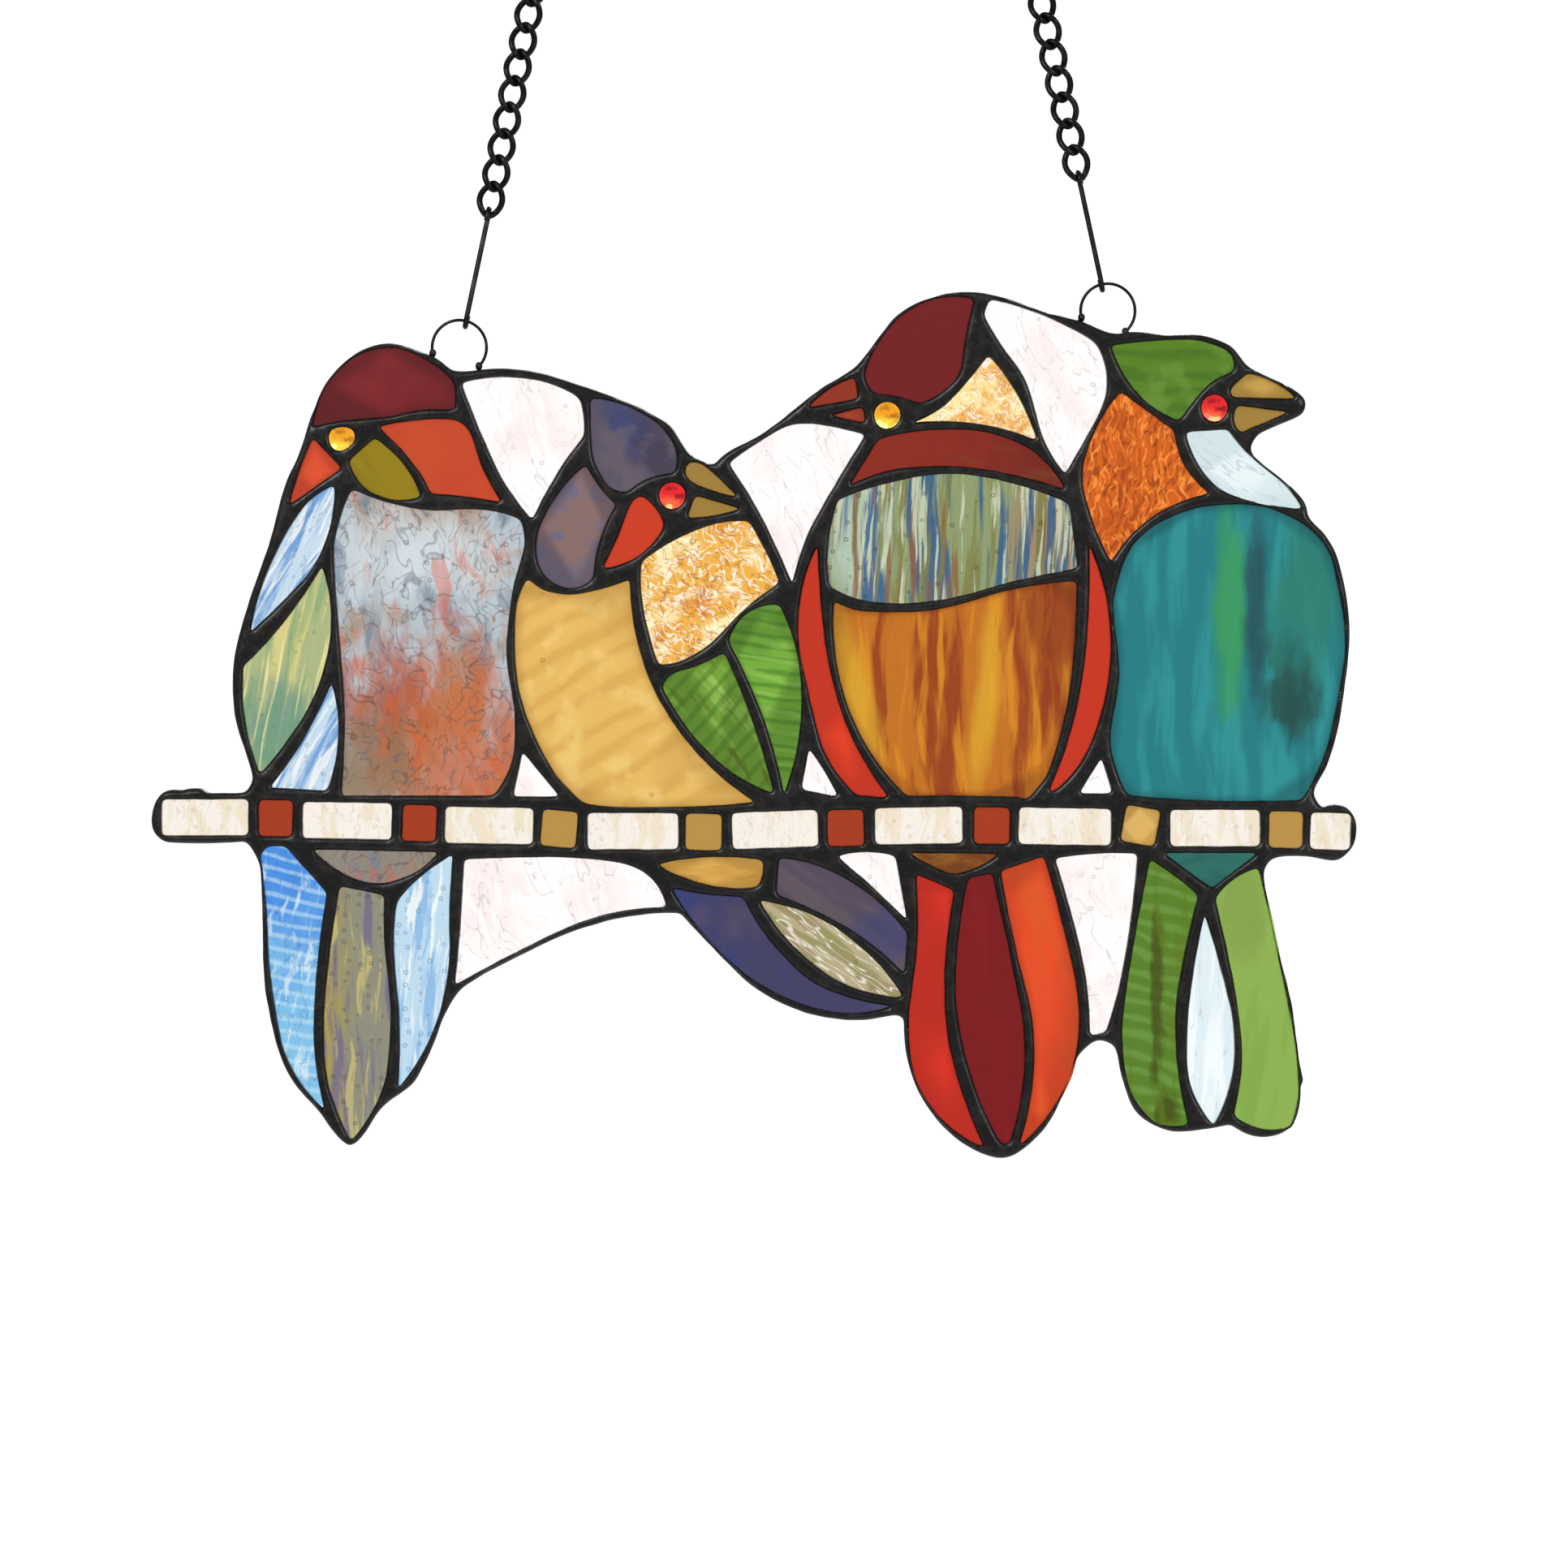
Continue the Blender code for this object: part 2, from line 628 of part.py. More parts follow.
def build_solder(group, helpers):
    """The soldered panel, with an opening for each pane, and with its gems, tiles and beaks sunk in it."""
    panel = made_mesh(flat_solid("solder_panel", [drawn(PANEL_EDGE)], SOLDER_THICKNESS, group))
    panel.data.materials.append(metal_finish("solder", SOLDER_COLOUR))
    openings = [drawn(sides) for _, sides in PANES.values()]
    combine(panel, made_mesh(flat_solid("openings", openings, 2 * SOLDER_THICKNESS, helpers)), "DIFFERENCE")
    sunk = [tile_outline(*tile) for tile in PERCH_TILES] + [drawn(beak) for beak in BEAKS]
    for face, toward in (("front", -1), ("back", 1)):
        recess = flat_solid(
            face + "_recesses", sunk, SOLDER_THICKNESS, helpers,
            depth=toward * (SOLDER_THICKNESS + GLASS_THICKNESS) / 2,
        )
        combine(panel, made_mesh(recess), "DIFFERENCE")
    combine(panel, build_gems(helpers), "UNION")


def build_gems(helpers):
    """The eye gems: a low cut stone that stands out of the solder on both faces."""
    model = bmesh.new()
    height = GEM_RISE + SOLDER_THICKNESS / 4
    for eye in EYES:
        for toward in (-1, 1):
            stand = Matrix.Rotation(-toward * math.pi / 2, 4, "X")
            middle = in_space(on_paper(eye), toward * (SOLDER_THICKNESS / 2 + GEM_RISE - height / 2))
            bmesh.ops.create_cone(
                model, cap_ends=True, segments=8, radius1=GEM_RADIUS, radius2=GEM_TABLE_RADIUS, depth=height,
                matrix=Matrix.Translation(middle) @ stand,
            )
    mesh = bpy.data.meshes.new("eye_gems")
    model.to_mesh(mesh)
    model.free()
    return link_object("eye_gems", mesh, helpers)


def build_rings(group):
    """The wire rings, whose feet stop a gap short of the solder's edge."""
    steps = 12
    for side, (_, first_foot, last_foot, _) in RINGS.items():
        angles = [first_foot + (last_foot - first_foot) * step / steps for step in range(steps + 1)]
        points = [in_space(on_ring(side, angle)) for angle in angles]
        wire(side + "_ring", points, RING_WIRE, group, metal_finish(side + "_ring_wire"))


def on_ring(side, angle):
    """The place on a ring's wire at an angle, on the paper."""
    return on_paper(RINGS[side][0]) + Vector((math.cos(angle), math.sin(angle))) * RING_RADIUS


def s_hook(name, low, high, low_bend, high_bend, diameter, group):
    """A wire bent into an S that stands square to the panel, from its lowest point to its highest, on the paper."""
    up = (high - low).normalized()
    across = (high - low).length - low_bend - high_bend
    slant = math.asin((low_bend + high_bend) / across)
    low_tip, low_end = math.radians(25), -math.pi - slant
    high_end, high_tip = -slant, math.radians(200)
    points = []
    for middle, radius, start, end in (
        (low + up * low_bend, low_bend, low_tip, low_end),
        (high - up * high_bend, high_bend, high_end, high_tip),
    ):
        steps = 7
        for step in range(steps + 1):
            angle = start + (end - start) * step / steps
            points.append(in_space(middle + up * radius * math.sin(angle), radius * math.cos(angle)))
    wire(name, points, diameter, group, metal_finish(name + "_wire"))


def build_hooks(group):
    """The long hook between each ring and its chain, and the hook that the chain hangs by."""
    for side in CHAINS:
        ring_wire, link_wire = on_ring(side, RINGS[side][3]), chain_end(side, top=False)
        up = (link_wire - ring_wire).normalized()
        low = ring_wire - up * ((LONG_HOOK_WIRE + RING_WIRE) / 2 + HOOK_GAP)
        high = link_wire + up * ((LONG_HOOK_WIRE + LINK_WIRE) / 2 + HOOK_GAP)
        s_hook(side + "_long_hook", low, high, LONG_HOOK_BEND, LONG_HOOK_BEND, LONG_HOOK_WIRE, group)
        held = chain_end(side, top=True)
        low = held - chain_direction(side) * ((TOP_HOOK_WIRE + LINK_WIRE) / 2 + HOOK_GAP)
        s_hook(side + "_top_hook", low, crown(side), TOP_HOOK_LOW_BEND, TOP_HOOK_CROOK, TOP_HOOK_WIRE, group)


def chain_links(name, side, numbers, group):
    """Some of a chain's twisted links as one mesh. A link's two ends stand square to each other."""
    up = chain_direction(side)
    sideways = Vector((up.y, -up.x))
    half_length = link_half_length()
    half_width = (LINK_WIDTH - LINK_WIRE) / 2
    model = bmesh.new()
    for number in numbers:
        middle = on_paper(CHAINS[side][0]) + up * LINK_PITCH * number
        points = []
        steps = 12
        for step in range(steps):
            angle = 2 * math.pi * (step + 0.5) / steps
            along, across = math.sin(angle), math.cos(angle)
            turn = LINK_TWIST / 2 * along
            place = middle + up * along * half_length + sideways * across * half_width * math.cos(turn)
            points.append(in_space(place, -across * half_width * math.sin(turn)))
        link = made_mesh(wire(name + "_link", points, LINK_WIRE, group, closed=True, sides=4))
        model.from_mesh(link.data)
        bpy.data.objects.remove(link)
    mesh = bpy.data.meshes.new(name)
    model.to_mesh(mesh)
    model.free()
    return link_object(name, mesh, group)


def build_chains(group, helpers):
    """The chains. Every second link is joined to those beside it where they bear on each other."""
    for side, (_, _, count) in CHAINS.items():
        chain = chain_links(side + "_chain", side, range(0, count, 2), group)
        chain.data.materials.append(metal_finish(side + "_chain_wire"))
        combine(chain, chain_links(side + "_second_links", side, range(1, count, 2), helpers), "UNION")


def main():
    for old in list(bpy.data.objects):
        bpy.data.objects.remove(old)
    group = collection("stained_glass_suncatcher")
    helpers = collection("helpers")
    build_solder(group, helpers)
    build_panes(group)
    build_rings(group)
    build_hooks(group)
    build_chains(group, helpers)
    helpers.hide_render = True


main()
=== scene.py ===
"""The looks of a stained glass suncatcher: four birds side by side on a perch of small tiles.

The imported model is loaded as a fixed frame. Each pane, tile, slip and gem is cut from its own kind of
glass, the solder is laid as rounded seams over their edges, and the rings, hooks and chains are bent from
round wire.
"""

import math

import bmesh
import bpy
import numpy as np
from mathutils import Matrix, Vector, kdtree, noise
from mathutils.geometry import delaunay_2d_cdt


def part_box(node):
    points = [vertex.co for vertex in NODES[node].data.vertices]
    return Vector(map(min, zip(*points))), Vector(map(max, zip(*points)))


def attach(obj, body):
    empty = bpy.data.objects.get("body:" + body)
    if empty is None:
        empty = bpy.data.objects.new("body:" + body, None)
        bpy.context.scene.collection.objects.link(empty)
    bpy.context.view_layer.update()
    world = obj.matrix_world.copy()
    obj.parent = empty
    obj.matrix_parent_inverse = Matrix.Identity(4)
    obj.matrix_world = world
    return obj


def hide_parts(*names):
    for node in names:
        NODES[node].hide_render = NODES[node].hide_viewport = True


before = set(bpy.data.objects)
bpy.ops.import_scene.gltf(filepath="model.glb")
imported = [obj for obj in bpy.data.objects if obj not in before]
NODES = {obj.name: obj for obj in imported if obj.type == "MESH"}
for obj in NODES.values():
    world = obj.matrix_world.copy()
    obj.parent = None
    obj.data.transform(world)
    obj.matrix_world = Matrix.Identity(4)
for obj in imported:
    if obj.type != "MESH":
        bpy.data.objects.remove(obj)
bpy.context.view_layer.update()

# The drawing is laid out in squares, counted from its top left corner. The perch is 1478 squares long.
SQUARE = 0.300 / 1478
DRAWING_LEFT = -0.1388893
DRAWING_TOP = -0.0298094
DRAWING_SIZE = 1932

# Sizes of the panel, in metres.
GLASS_FACE = 0.0015
CAD_SOLDER_FACE = 0.0022
SEAM_TOP_FRONT = 0.0026
SEAM_TOP_BACK = 0.0023
SEAM_SHOULDER = 0.0013
RIM_START = 0.0005
UNDER_SEAM = 0.0005
OUTLINE_STEP = 0.0008
SEAM_RINGS = (0.00022, 0.00055, 0.00100)
SEAM_GRID = 0.0011
PANE_GRID = 0.0010
CORNER = math.radians(40)
WELD = 1e-6
SHEET_MARGIN = 0.0006

# The solder's and the outlines' unevenness: how long the waves are, and how deep.
SWELL_LENGTH = 0.006
SWELL_DEPTH = 0.00018
WOBBLE_LENGTH = 0.004
WOBBLE_DEPTH = 0.00010

# Where the points inside the solder go: how much of its distance a ring keeps, and how the grid is spaced.
RING_KEPT = 0.93
GRID_ROW = 0.87
GRID_CLEARANCE = 0.4

# How near an opening's middle is to the piece that it belongs to, in metres, and the row of the tiles.
EYE_REACH = 0.002
PANE_REACH = 0.0006
TILE_REACH = 0.003
PERCH_ROW = 1018

# Sizes of the gems, in metres.
GEM_RADIUS = 0.0032
GEM_TABLE = 0.0019
GEM_GIRDLE = 0.0020
GEM_FACE = 0.0030
GEM_UNDER_SEAM = 0.0004
GEM_SIDES = 12
GEM_EDGE_POINTS = 20
GEM_EDGE_STRETCH = 1.03

# Sizes of the wire, in metres.
RING_RADIUS = 0.0068
RING_WIRE = 0.00078
LONG_HOOK_WIRE = 0.0013
LONG_HOOK_BEND = 0.0023
TOP_HOOK_WIRE = 0.0014
TOP_HOOK_LOW_BEND = 0.0024
TOP_HOOK_CROOK = 0.0052
LINK_PITCH = 0.00675
LINK_WIDTH = 0.0072
LINK_WIRE = 0.00155
LINK_TWIST = math.radians(90)
WIRE_GAP = 0.0004
RING_STEPS = 60
BEND_STEPS = 24
LINK_STEPS = 36
FOOT_SOLDER = (0.0009, 0.0012, 0.0011)

# The wirework on the drawing: each ring's middle, the angles of its feet, and where on it the hook hangs.
RINGS = {"left": ((566, 428), -44, 192, 75), "right": ((1365, 383), -50, 194, 104)}

# Each side's chain: its lowest link and the highest one that shows, and how many links it has.
CHAINS = {"left": ((605, 246), (651, 18), 9), "right": ((1326, 201), (1283, 2), 8)}
HOOK_CROWN_ROW = -150

# The eyes: where each gem is and its colour. The first one's edge is chipped, so it is drawn point
# by point. Each colour is its colour above, its colour below, which is lighter as painted light, its cracks,
# and its rim, which is a painted highlight.
EYES = {
    "bird_one": ((422, 541), "amber"),
    "bird_two": ((828.5, 611), "red"),
    "bird_three": ((1093, 512), "amber"),
    "bird_four": ((1496, 503), "red"),
}
GEM_COLOURS = {
    "amber": ("F2A21E", "F8E44E", "A86414", "FFF0B0"),
    "red": ("E8242C", "FF6A42", "7C0C10", "F25048"),
}
CHIPPED_EDGE = [
    (407, 532), (406.6, 541), (409, 549), (416, 555.5), (425.5, 552.5), (437, 543), (436, 531), (423, 527.5),
]

# Each kind of sheet: how deep its relief is, how wide and high its bumps are, and its seed.
RELIEF = {
    "ripple": (0.00016, 0.0016, 0.0024, 1.0),
    "seedy": (0.00007, 0.002, 0.005, 2.0),
    "plain": (0.00004, 0.006, 0.008, 3.0),
}
RIPPLE_SWIRL = 0.003
RIPPLED = ("bird_two_chest", "bird_three_cheek", "bird_four_nape")
SEEDY = ("clear", "bird_one_body", "bird_one_wing", "bird_one_tail", "bird_three_chest")

# How far apart two seeds put the patterns that they give, in the grain's own units and in squares.
SEED_STEP = 7.31
BUBBLE_SEED_STEP = 91.7

# The stage: the panel's middle, the floor and the camera's distance, in metres.
PANEL_MIDDLE = (0.057, 0, -0.2)
FLOOR_PLACE = (0.057, 0, -0.62)
FLOOR_SIZE = 1.6
CAMERA_DISTANCE = 2.0
SENSOR_WIDTH = 36

# Each light's place, size and power.
LIGHTS = {
    "key_softbox": ((-0.5, -0.9, 0.5), 0.5, 6.0),
    "fill_softbox": ((0.8, -0.8, 0.1), 0.4, 2.5),
    "back_softbox": ((0.3, 0.9, 0.4), 0.5, 4.0),
}


def on_panel(across, down):
    """A place on the drawing as X and Z in metres."""
    return DRAWING_LEFT + across * SQUARE, DRAWING_TOP - down * SQUARE


# Outlines


def face_outlines(part, depth):
    """The closed outlines of a part's flat face at a depth. From the front, the face is on their left."""
    model = bmesh.new()
    model.from_mesh(part.data)
    bmesh.ops.remove_doubles(model, verts=model.verts, dist=WELD)
    edges = set()
    for face in model.faces:
        if all(abs(corner.co.y - depth) < 10 * WELD for corner in face.verts):
            edges |= {(loop.vert.index, loop.link_loop_next.vert.index) for loop in face.loops}
    following = {start: end for start, end in edges if (end, start) not in edges}
    outlines = []
    while following:
        start, point = following.popitem()
        indices = [start]
        while point != start:
            indices.append(point)
            point = following.pop(point)
        model.verts.ensure_lookup_table()
        outlines.append(np.array([(model.verts[i].co.x, model.verts[i].co.z) for i in indices]))
    model.free()
    return outlines


def area(outline):
    """The outline's area, positive where it runs round to the left."""
    after = np.roll(outline, -1, 0)
    return (outline[:, 0] * after[:, 1] - outline[:, 1] * after[:, 0]).sum() / 2


def left_of(outline):
    """The way to the left at each point of an outline, as unit vectors."""
    along = np.roll(outline, -1, 0) - np.roll(outline, 1, 0)
    across = np.stack([-along[:, 1], along[:, 0]], 1)
    return across / np.linalg.norm(across, axis=1)[:, None]


def redrawn(outline, seed):
    """The outline as smooth curves between its corners, evenly spaced, with a hand's slight wobble."""
    after = np.roll(outline, -1, 0)
    length = np.linalg.norm(after - outline, axis=1)
    way = (after - outline) / length[:, None]
    way_in = np.roll(way, 1, 0)
    sharp = (way_in * way).sum(1) < math.cos(CORNER)
    through = after - np.roll(outline, 1, 0)
    through /= np.linalg.norm(through, axis=1)[:, None]
    points = []
    for i in range(len(outline)):
        j = (i + 1) % len(outline)
        leaving, arriving = through[i], through[j]
        if sharp[i]:
            leaving = way[i] if sharp[j] else 2 * way[i] - arriving
        if sharp[j]:
            arriving = way[i] if sharp[i] else 2 * way[i] - leaving
        count = max(1, round(length[i] / OUTLINE_STEP))
        t = (np.arange(count) / count)[:, None]
        points.append(
            outline[i] * (2 * t**3 - 3 * t**2 + 1)
            + leaving * length[i] * (t**3 - 2 * t**2 + t)
            + outline[j] * (3 * t**2 - 2 * t**3)
            + arriving * length[i] * (t**3 - t**2)
        )
    points = np.concatenate(points)
    for _ in range(2):
        points = points / 2 + (np.roll(points, 1, 0) + np.roll(points, -1, 0)) / 4
    wobble = [noise.noise((x / WOBBLE_LENGTH, z / WOBBLE_LENGTH, seed)) * WOBBLE_DEPTH for x, z in points]
    return points + left_of(points) * np.array(wobble)[:, None]


def inside(outline, places):
    """Which of the places lie inside an outline."""
    found = np.zeros(len(places), bool)
    low, high = outline.min(0), outline.max(0)
    near = np.flatnonzero(((places > low) & (places < high)).all(1))
    x, z = places[near, 0, None], places[near, 1, None]
    start, end = outline, np.roll(outline, -1, 0)
    spans = (start[:, 1] > z) != (end[:, 1] > z)
    with np.errstate(divide="ignore", invalid="ignore"):
        crossing = start[:, 0] + (z - start[:, 1]) / (end[:, 1] - start[:, 1]) * (end[:, 0] - start[:, 0])
    found[near] = (spans & (x < crossing)).sum(1) % 2 == 1
    return found


def distances(outlines, places):
    """How far each place is from the nearest of the outlines."""
    halfway = [outline + (np.roll(outline, -1, 0) - outline) * 0.5 for outline in outlines]
    samples = np.concatenate([*outlines, *halfway])
    tree = kdtree.KDTree(len(samples))
    for i, (x, z) in enumerate(samples):
        tree.insert((x, 0, z), i)
    tree.balance()
    return np.array([tree.find((x, 0, z))[2] for x, z in places])


# Meshes


def piece_of(name, mesh, material):
    """A new object of the scene with a mesh or curve and its material."""
    piece = bpy.data.objects.new(name, mesh)
    bpy.context.scene.collection.objects.link(piece)
    mesh.materials.append(material)
    return piece


def choose(piece):
    """Makes a piece the only one that is selected, and the active one."""
    bpy.ops.object.select_all(action="DESELECT")
    piece.select_set(True)
    bpy.context.view_layer.objects.active = piece


def smooth(piece, angle):
    """Shades a piece smooth, but keeps the edges that are sharper than an angle in degrees."""
    choose(piece)
    bpy.ops.object.shade_smooth_by_angle(angle=math.radians(angle))


def place_applied(piece):
    """Takes the piece's place, turn and scale into its mesh."""
    choose(piece)
    bpy.ops.object.transform_apply(location=True, rotation=True, scale=True)


def apply_modifiers(piece):
    """Turns a piece's modifiers into its mesh."""
    choose(piece)
    for modifier in list(piece.modifiers):
        bpy.ops.object.modifier_apply(modifier=modifier.name)


def thickened(piece, depth):
    """Draws a flat piece out from front to back, with its faces turned outwards."""
    choose(piece)
    bpy.ops.object.mode_set(mode="EDIT")
    bpy.ops.mesh.select_all(action="SELECT")
    bpy.ops.mesh.extrude_region_move(TRANSFORM_OT_translate={"value": (0, depth, 0)})
    bpy.ops.mesh.select_all(action="SELECT")
    bpy.ops.mesh.normals_make_consistent(inside=False)
    bpy.ops.object.mode_set(mode="OBJECT")


def kept(piece, slot, *replaced):
    """Hands a finished piece to the frame."""
    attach(piece, "root")
    if replaced:
        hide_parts(*replaced)
    return piece


# Nodes


def add(tree, kind, sockets=None, outlet=0, **settings):
    """Adds a node, sets or wires its sockets by name or number, and gives back one of its outlets."""
    node = tree.nodes.new("ShaderNode" + kind)
    for name, value in settings.items():
        setattr(node, name, value)
    for name, value in (sockets or {}).items():
        if isinstance(value, bpy.types.NodeSocket):
            tree.links.new(value, node.inputs[name])
        else:
            node.inputs[name].default_value = value
    return node.outputs[outlet]


def sum_up(tree, operation, *values):
    """A Math node."""
    return add(tree, "Math", dict(enumerate(values)), operation=operation)


def plus(tree, one, other):
    """One value and the other."""
    return sum_up(tree, "ADD", one, other)


def minus(tree, one, other):
    """One value less the other."""
    return sum_up(tree, "SUBTRACT", one, other)


def times(tree, one, other):
    """One value times the other."""
    return sum_up(tree, "MULTIPLY", one, other)


def over(tree, one, other):
    """One value divided by the other."""
    return sum_up(tree, "DIVIDE", one, other)


def faded(tree, value, low, high, start=0.0, end=1.0):
    """The value's place between low and high, as a soft step from start to end."""
    return add(
        tree, "MapRange",
        {"Value": value, "From Min": low, "From Max": high, "To Min": start, "To Max": end},
        interpolation_type="SMOOTHSTEP",
    )


def colour_of(code):
    """A colour's linear values from its six-figure code."""
    levels = [int(code[i : i + 2], 16) / 255 for i in (0, 2, 4)]
    return tuple(c / 12.92 if c <= 0.04045 else ((c + 0.055) / 1.055) ** 2.4 for c in levels) + (1.0,)


def effect(name, inlets, outlets=("Mask",)):
    """A new shader node group. Gives back its tree, its inlets and its outlets, both by name."""
    tree = bpy.data.node_groups.new(name, "ShaderNodeTree")
    for inlet, value in {"Vector": (0.0, 0.0, 0.0), **inlets}.items():
        kind = "NodeSocketVector" if isinstance(value, tuple) else "NodeSocketFloat"
        tree.interface.new_socket(inlet, in_out="INPUT", socket_type=kind).default_value = value
    for outlet in outlets:
        tree.interface.new_socket(outlet, in_out="OUTPUT", socket_type="NodeSocketFloat")
    start = tree.nodes.new("NodeGroupInput")
    end = tree.nodes.new("NodeGroupOutput")
    return tree, start.outputs, end.inputs


def leaned(tree, inlets, middle=(0.0, 0.0, 0.0)):
    """The drawing's coordinates turned so that the third runs along the lean and the first across it."""
    return add(
        tree, "VectorRotate",
        {"Vector": inlets["Vector"], "Center": middle, "Angle": times(tree, inlets["Lean"], -1)},
        rotation_type="Y_AXIS",
    )


def across_and_along(tree, vector):
    """A vector's first and third values."""
    parts = add(tree, "SeparateXYZ", {"Vector": vector}).node
    return parts.outputs["X"], parts.outputs["Z"]


def grain(tree, across, along, width, length, seed, detail, roughness=0.5):
    """A cloudy value that doesn't change through the glass, in clouds of a width and a length."""
    place = add(
        tree, "CombineXYZ",
        {"X": over(tree, across, width), "Y": times(tree, seed, SEED_STEP), "Z": over(tree, along, length)},
    )
    return add(tree, "TexNoise", {"Vector": place, "Scale": 1.0, "Detail": detail, "Roughness": roughness})


def swayed(tree, cloud, amount):
    """A cloudy value as a shift to both sides, by up to twice the amount."""
    return times(tree, minus(tree, cloud, 0.5), times(tree, amount, 4.0))


def flowing(tree, inlets, detail):
    """The grain of glass that was drawn out along its lean, with a wander from side to side."""
    width, length, seed = inlets["Across"], inlets["Along"], inlets["Seed"]
    across, along = across_and_along(tree, leaned(tree, inlets))
    bend = grain(tree, across, along, length, length, seed, 1.0)
    bent = plus(tree, across, swayed(tree, bend, inlets["Wander"]))
    return grain(tree, bent, along, width, length, plus(tree, seed, 3.7), detail, 0.55)


def give(tree, mask, inlets, outlet):
    """Wires a mask to a group's outlet, at the strength that the group is set to."""
    tree.links.new(times(tree, mask, inlets["Strength"]), outlet)


def make_flowing_effects(limits):
    """The groups for streaks and hairlines, which follow the glass's lean."""
    flow = {"Lean": 0.0, "Across": 14.0, "Along": 160.0, "Wander": 8.0, "Seed": 0.0}

    tree, inlets, outlets = effect("Streaks", {**flow, **limits})
    mask = faded(tree, flowing(tree, inlets, 4.0), inlets["Low"], inlets["High"])
    give(tree, mask, inlets, outlets["Mask"])

    tree, inlets, outlets = effect("Hairlines", {**flow, "Width": 0.02, "Strength": 1.0})
    off_line = sum_up(tree, "ABSOLUTE", minus(tree, flowing(tree, inlets, 2.0), 0.5))
    give(tree, faded(tree, off_line, 0.0, inlets["Width"], 1.0, 0.0), inlets, outlets["Mask"])


def make_clouds(limits):
    """The group for soft clouds that are as long as they are wide."""
    tree, inlets, outlets = effect("Clouds", {"Size": 60.0, "Seed": 0.0, **limits})
    across, along = across_and_along(tree, inlets["Vector"])
    cloud = grain(tree, across, along, inlets["Size"], inlets["Size"], inlets["Seed"], 4.0)
    give(tree, faded(tree, cloud, inlets["Low"], inlets["High"]), inlets, outlets["Mask"])


def make_patch():
    """The group for one soft patch with a ragged edge."""
    tree, inlets, outlets = effect(
        "Patch",
        {"Lean": 0.0, "Middle": (0.0, 0.0, 0.0), "Half Size": (50.0, 1.0, 50.0), "Ragged": 0.3, "Grain": 30.0,
         "Soft": 0.5, "Seed": 0.0, "Strength": 1.0},
    )
    turned = leaned(tree, inlets, middle=inlets["Middle"])
    reach = add(tree, "VectorMath", {0: turned, 1: inlets["Middle"]}, operation="SUBTRACT")
    reach = add(tree, "VectorMath", {0: reach, 1: inlets["Half Size"]}, operation="DIVIDE")
    across, along = across_and_along(tree, reach)
    squared = plus(tree, sum_up(tree, "POWER", across, 2.0), sum_up(tree, "POWER", along, 2.0))
    distance = sum_up(tree, "SQRT", squared)
    across, along = across_and_along(tree, turned)
    length = times(tree, inlets["Grain"], 2.5)
    edge = grain(tree, across, along, inlets["Grain"], length, inlets["Seed"], 4.0, 0.6)
    distance = plus(tree, distance, swayed(tree, edge, inlets["Ragged"]))
    start, end = minus(tree, 1.0, inlets["Soft"]), plus(tree, 1.0, inlets["Soft"])
    give(tree, faded(tree, distance, start, end, 1.0, 0.0), inlets, outlets["Mask"])


def make_ribs():
    """The group for ribs side by side, which wander a little."""
    tree, inlets, outlets = effect(
        "Ribs",
        {"Lean": 0.0, "Pitch": 14.0, "Wander": 0.8, "Grain": 50.0, "Low": 0.3, "High": 0.8, "Seed": 0.0,
         "Strength": 1.0},
    )
    across, along = across_and_along(tree, leaned(tree, inlets))
    length = times(tree, inlets["Grain"], 2.0)
    wander = grain(tree, across, along, inlets["Grain"], length, inlets["Seed"], 2.0)
    turns = plus(tree, over(tree, across, inlets["Pitch"]), times(tree, wander, inlets["Wander"]))
    wave = sum_up(tree, "MULTIPLY_ADD", sum_up(tree, "SINE", times(tree, turns, 2 * math.pi)), 0.5, 0.5)
    give(tree, faded(tree, wave, inlets["Low"], inlets["High"]), inlets, outlets["Mask"])


def make_bubbles():
    """The group for small bubbles, with the light that they bend painted in: a dark ring of painted shade
    round each, and a spark of painted highlight in its middle.
    """
    tree, inlets, outlets = effect(
        "Bubbles",
        {"Spacing": 30.0, "Size": 2.5, "Share": 0.5, "Seed": 0.0, "Strength": 1.0},
        ("Mask", "Spark"),
    )
    across, along = across_and_along(tree, inlets["Vector"])
    shifted = plus(tree, across, times(tree, inlets["Seed"], BUBBLE_SEED_STEP))
    place = add(
        tree, "CombineXYZ",
        {"X": over(tree, shifted, inlets["Spacing"]), "Y": over(tree, along, inlets["Spacing"])},
    )
    sockets = {"Vector": place, "Scale": 1.0, "Randomness": 1.0}
    cells = add(tree, "TexVoronoi", sockets, voronoi_dimensions="2D").node
    lot = add(tree, "SeparateColor", {"Color": cells.outputs["Color"]}).node
    there = sum_up(tree, "LESS_THAN", lot.outputs["Red"], inlets["Share"])
    size = times(tree, inlets["Size"], faded(tree, lot.outputs["Green"], 0.0, 1.0, 0.5, 1.4))
    part = over(tree, times(tree, cells.outputs["Distance"], inlets["Spacing"]), size)
    ring = times(tree, faded(tree, part, 0.45, 0.8), faded(tree, part, 0.9, 1.3, 1.0, 0.0))
    spark = faded(tree, part, 0.3, 0.7, 1.0, 0.0)
    give(tree, times(tree, ring, there), inlets, outlets["Mask"])
    give(tree, times(tree, spark, there), inlets, outlets["Spark"])


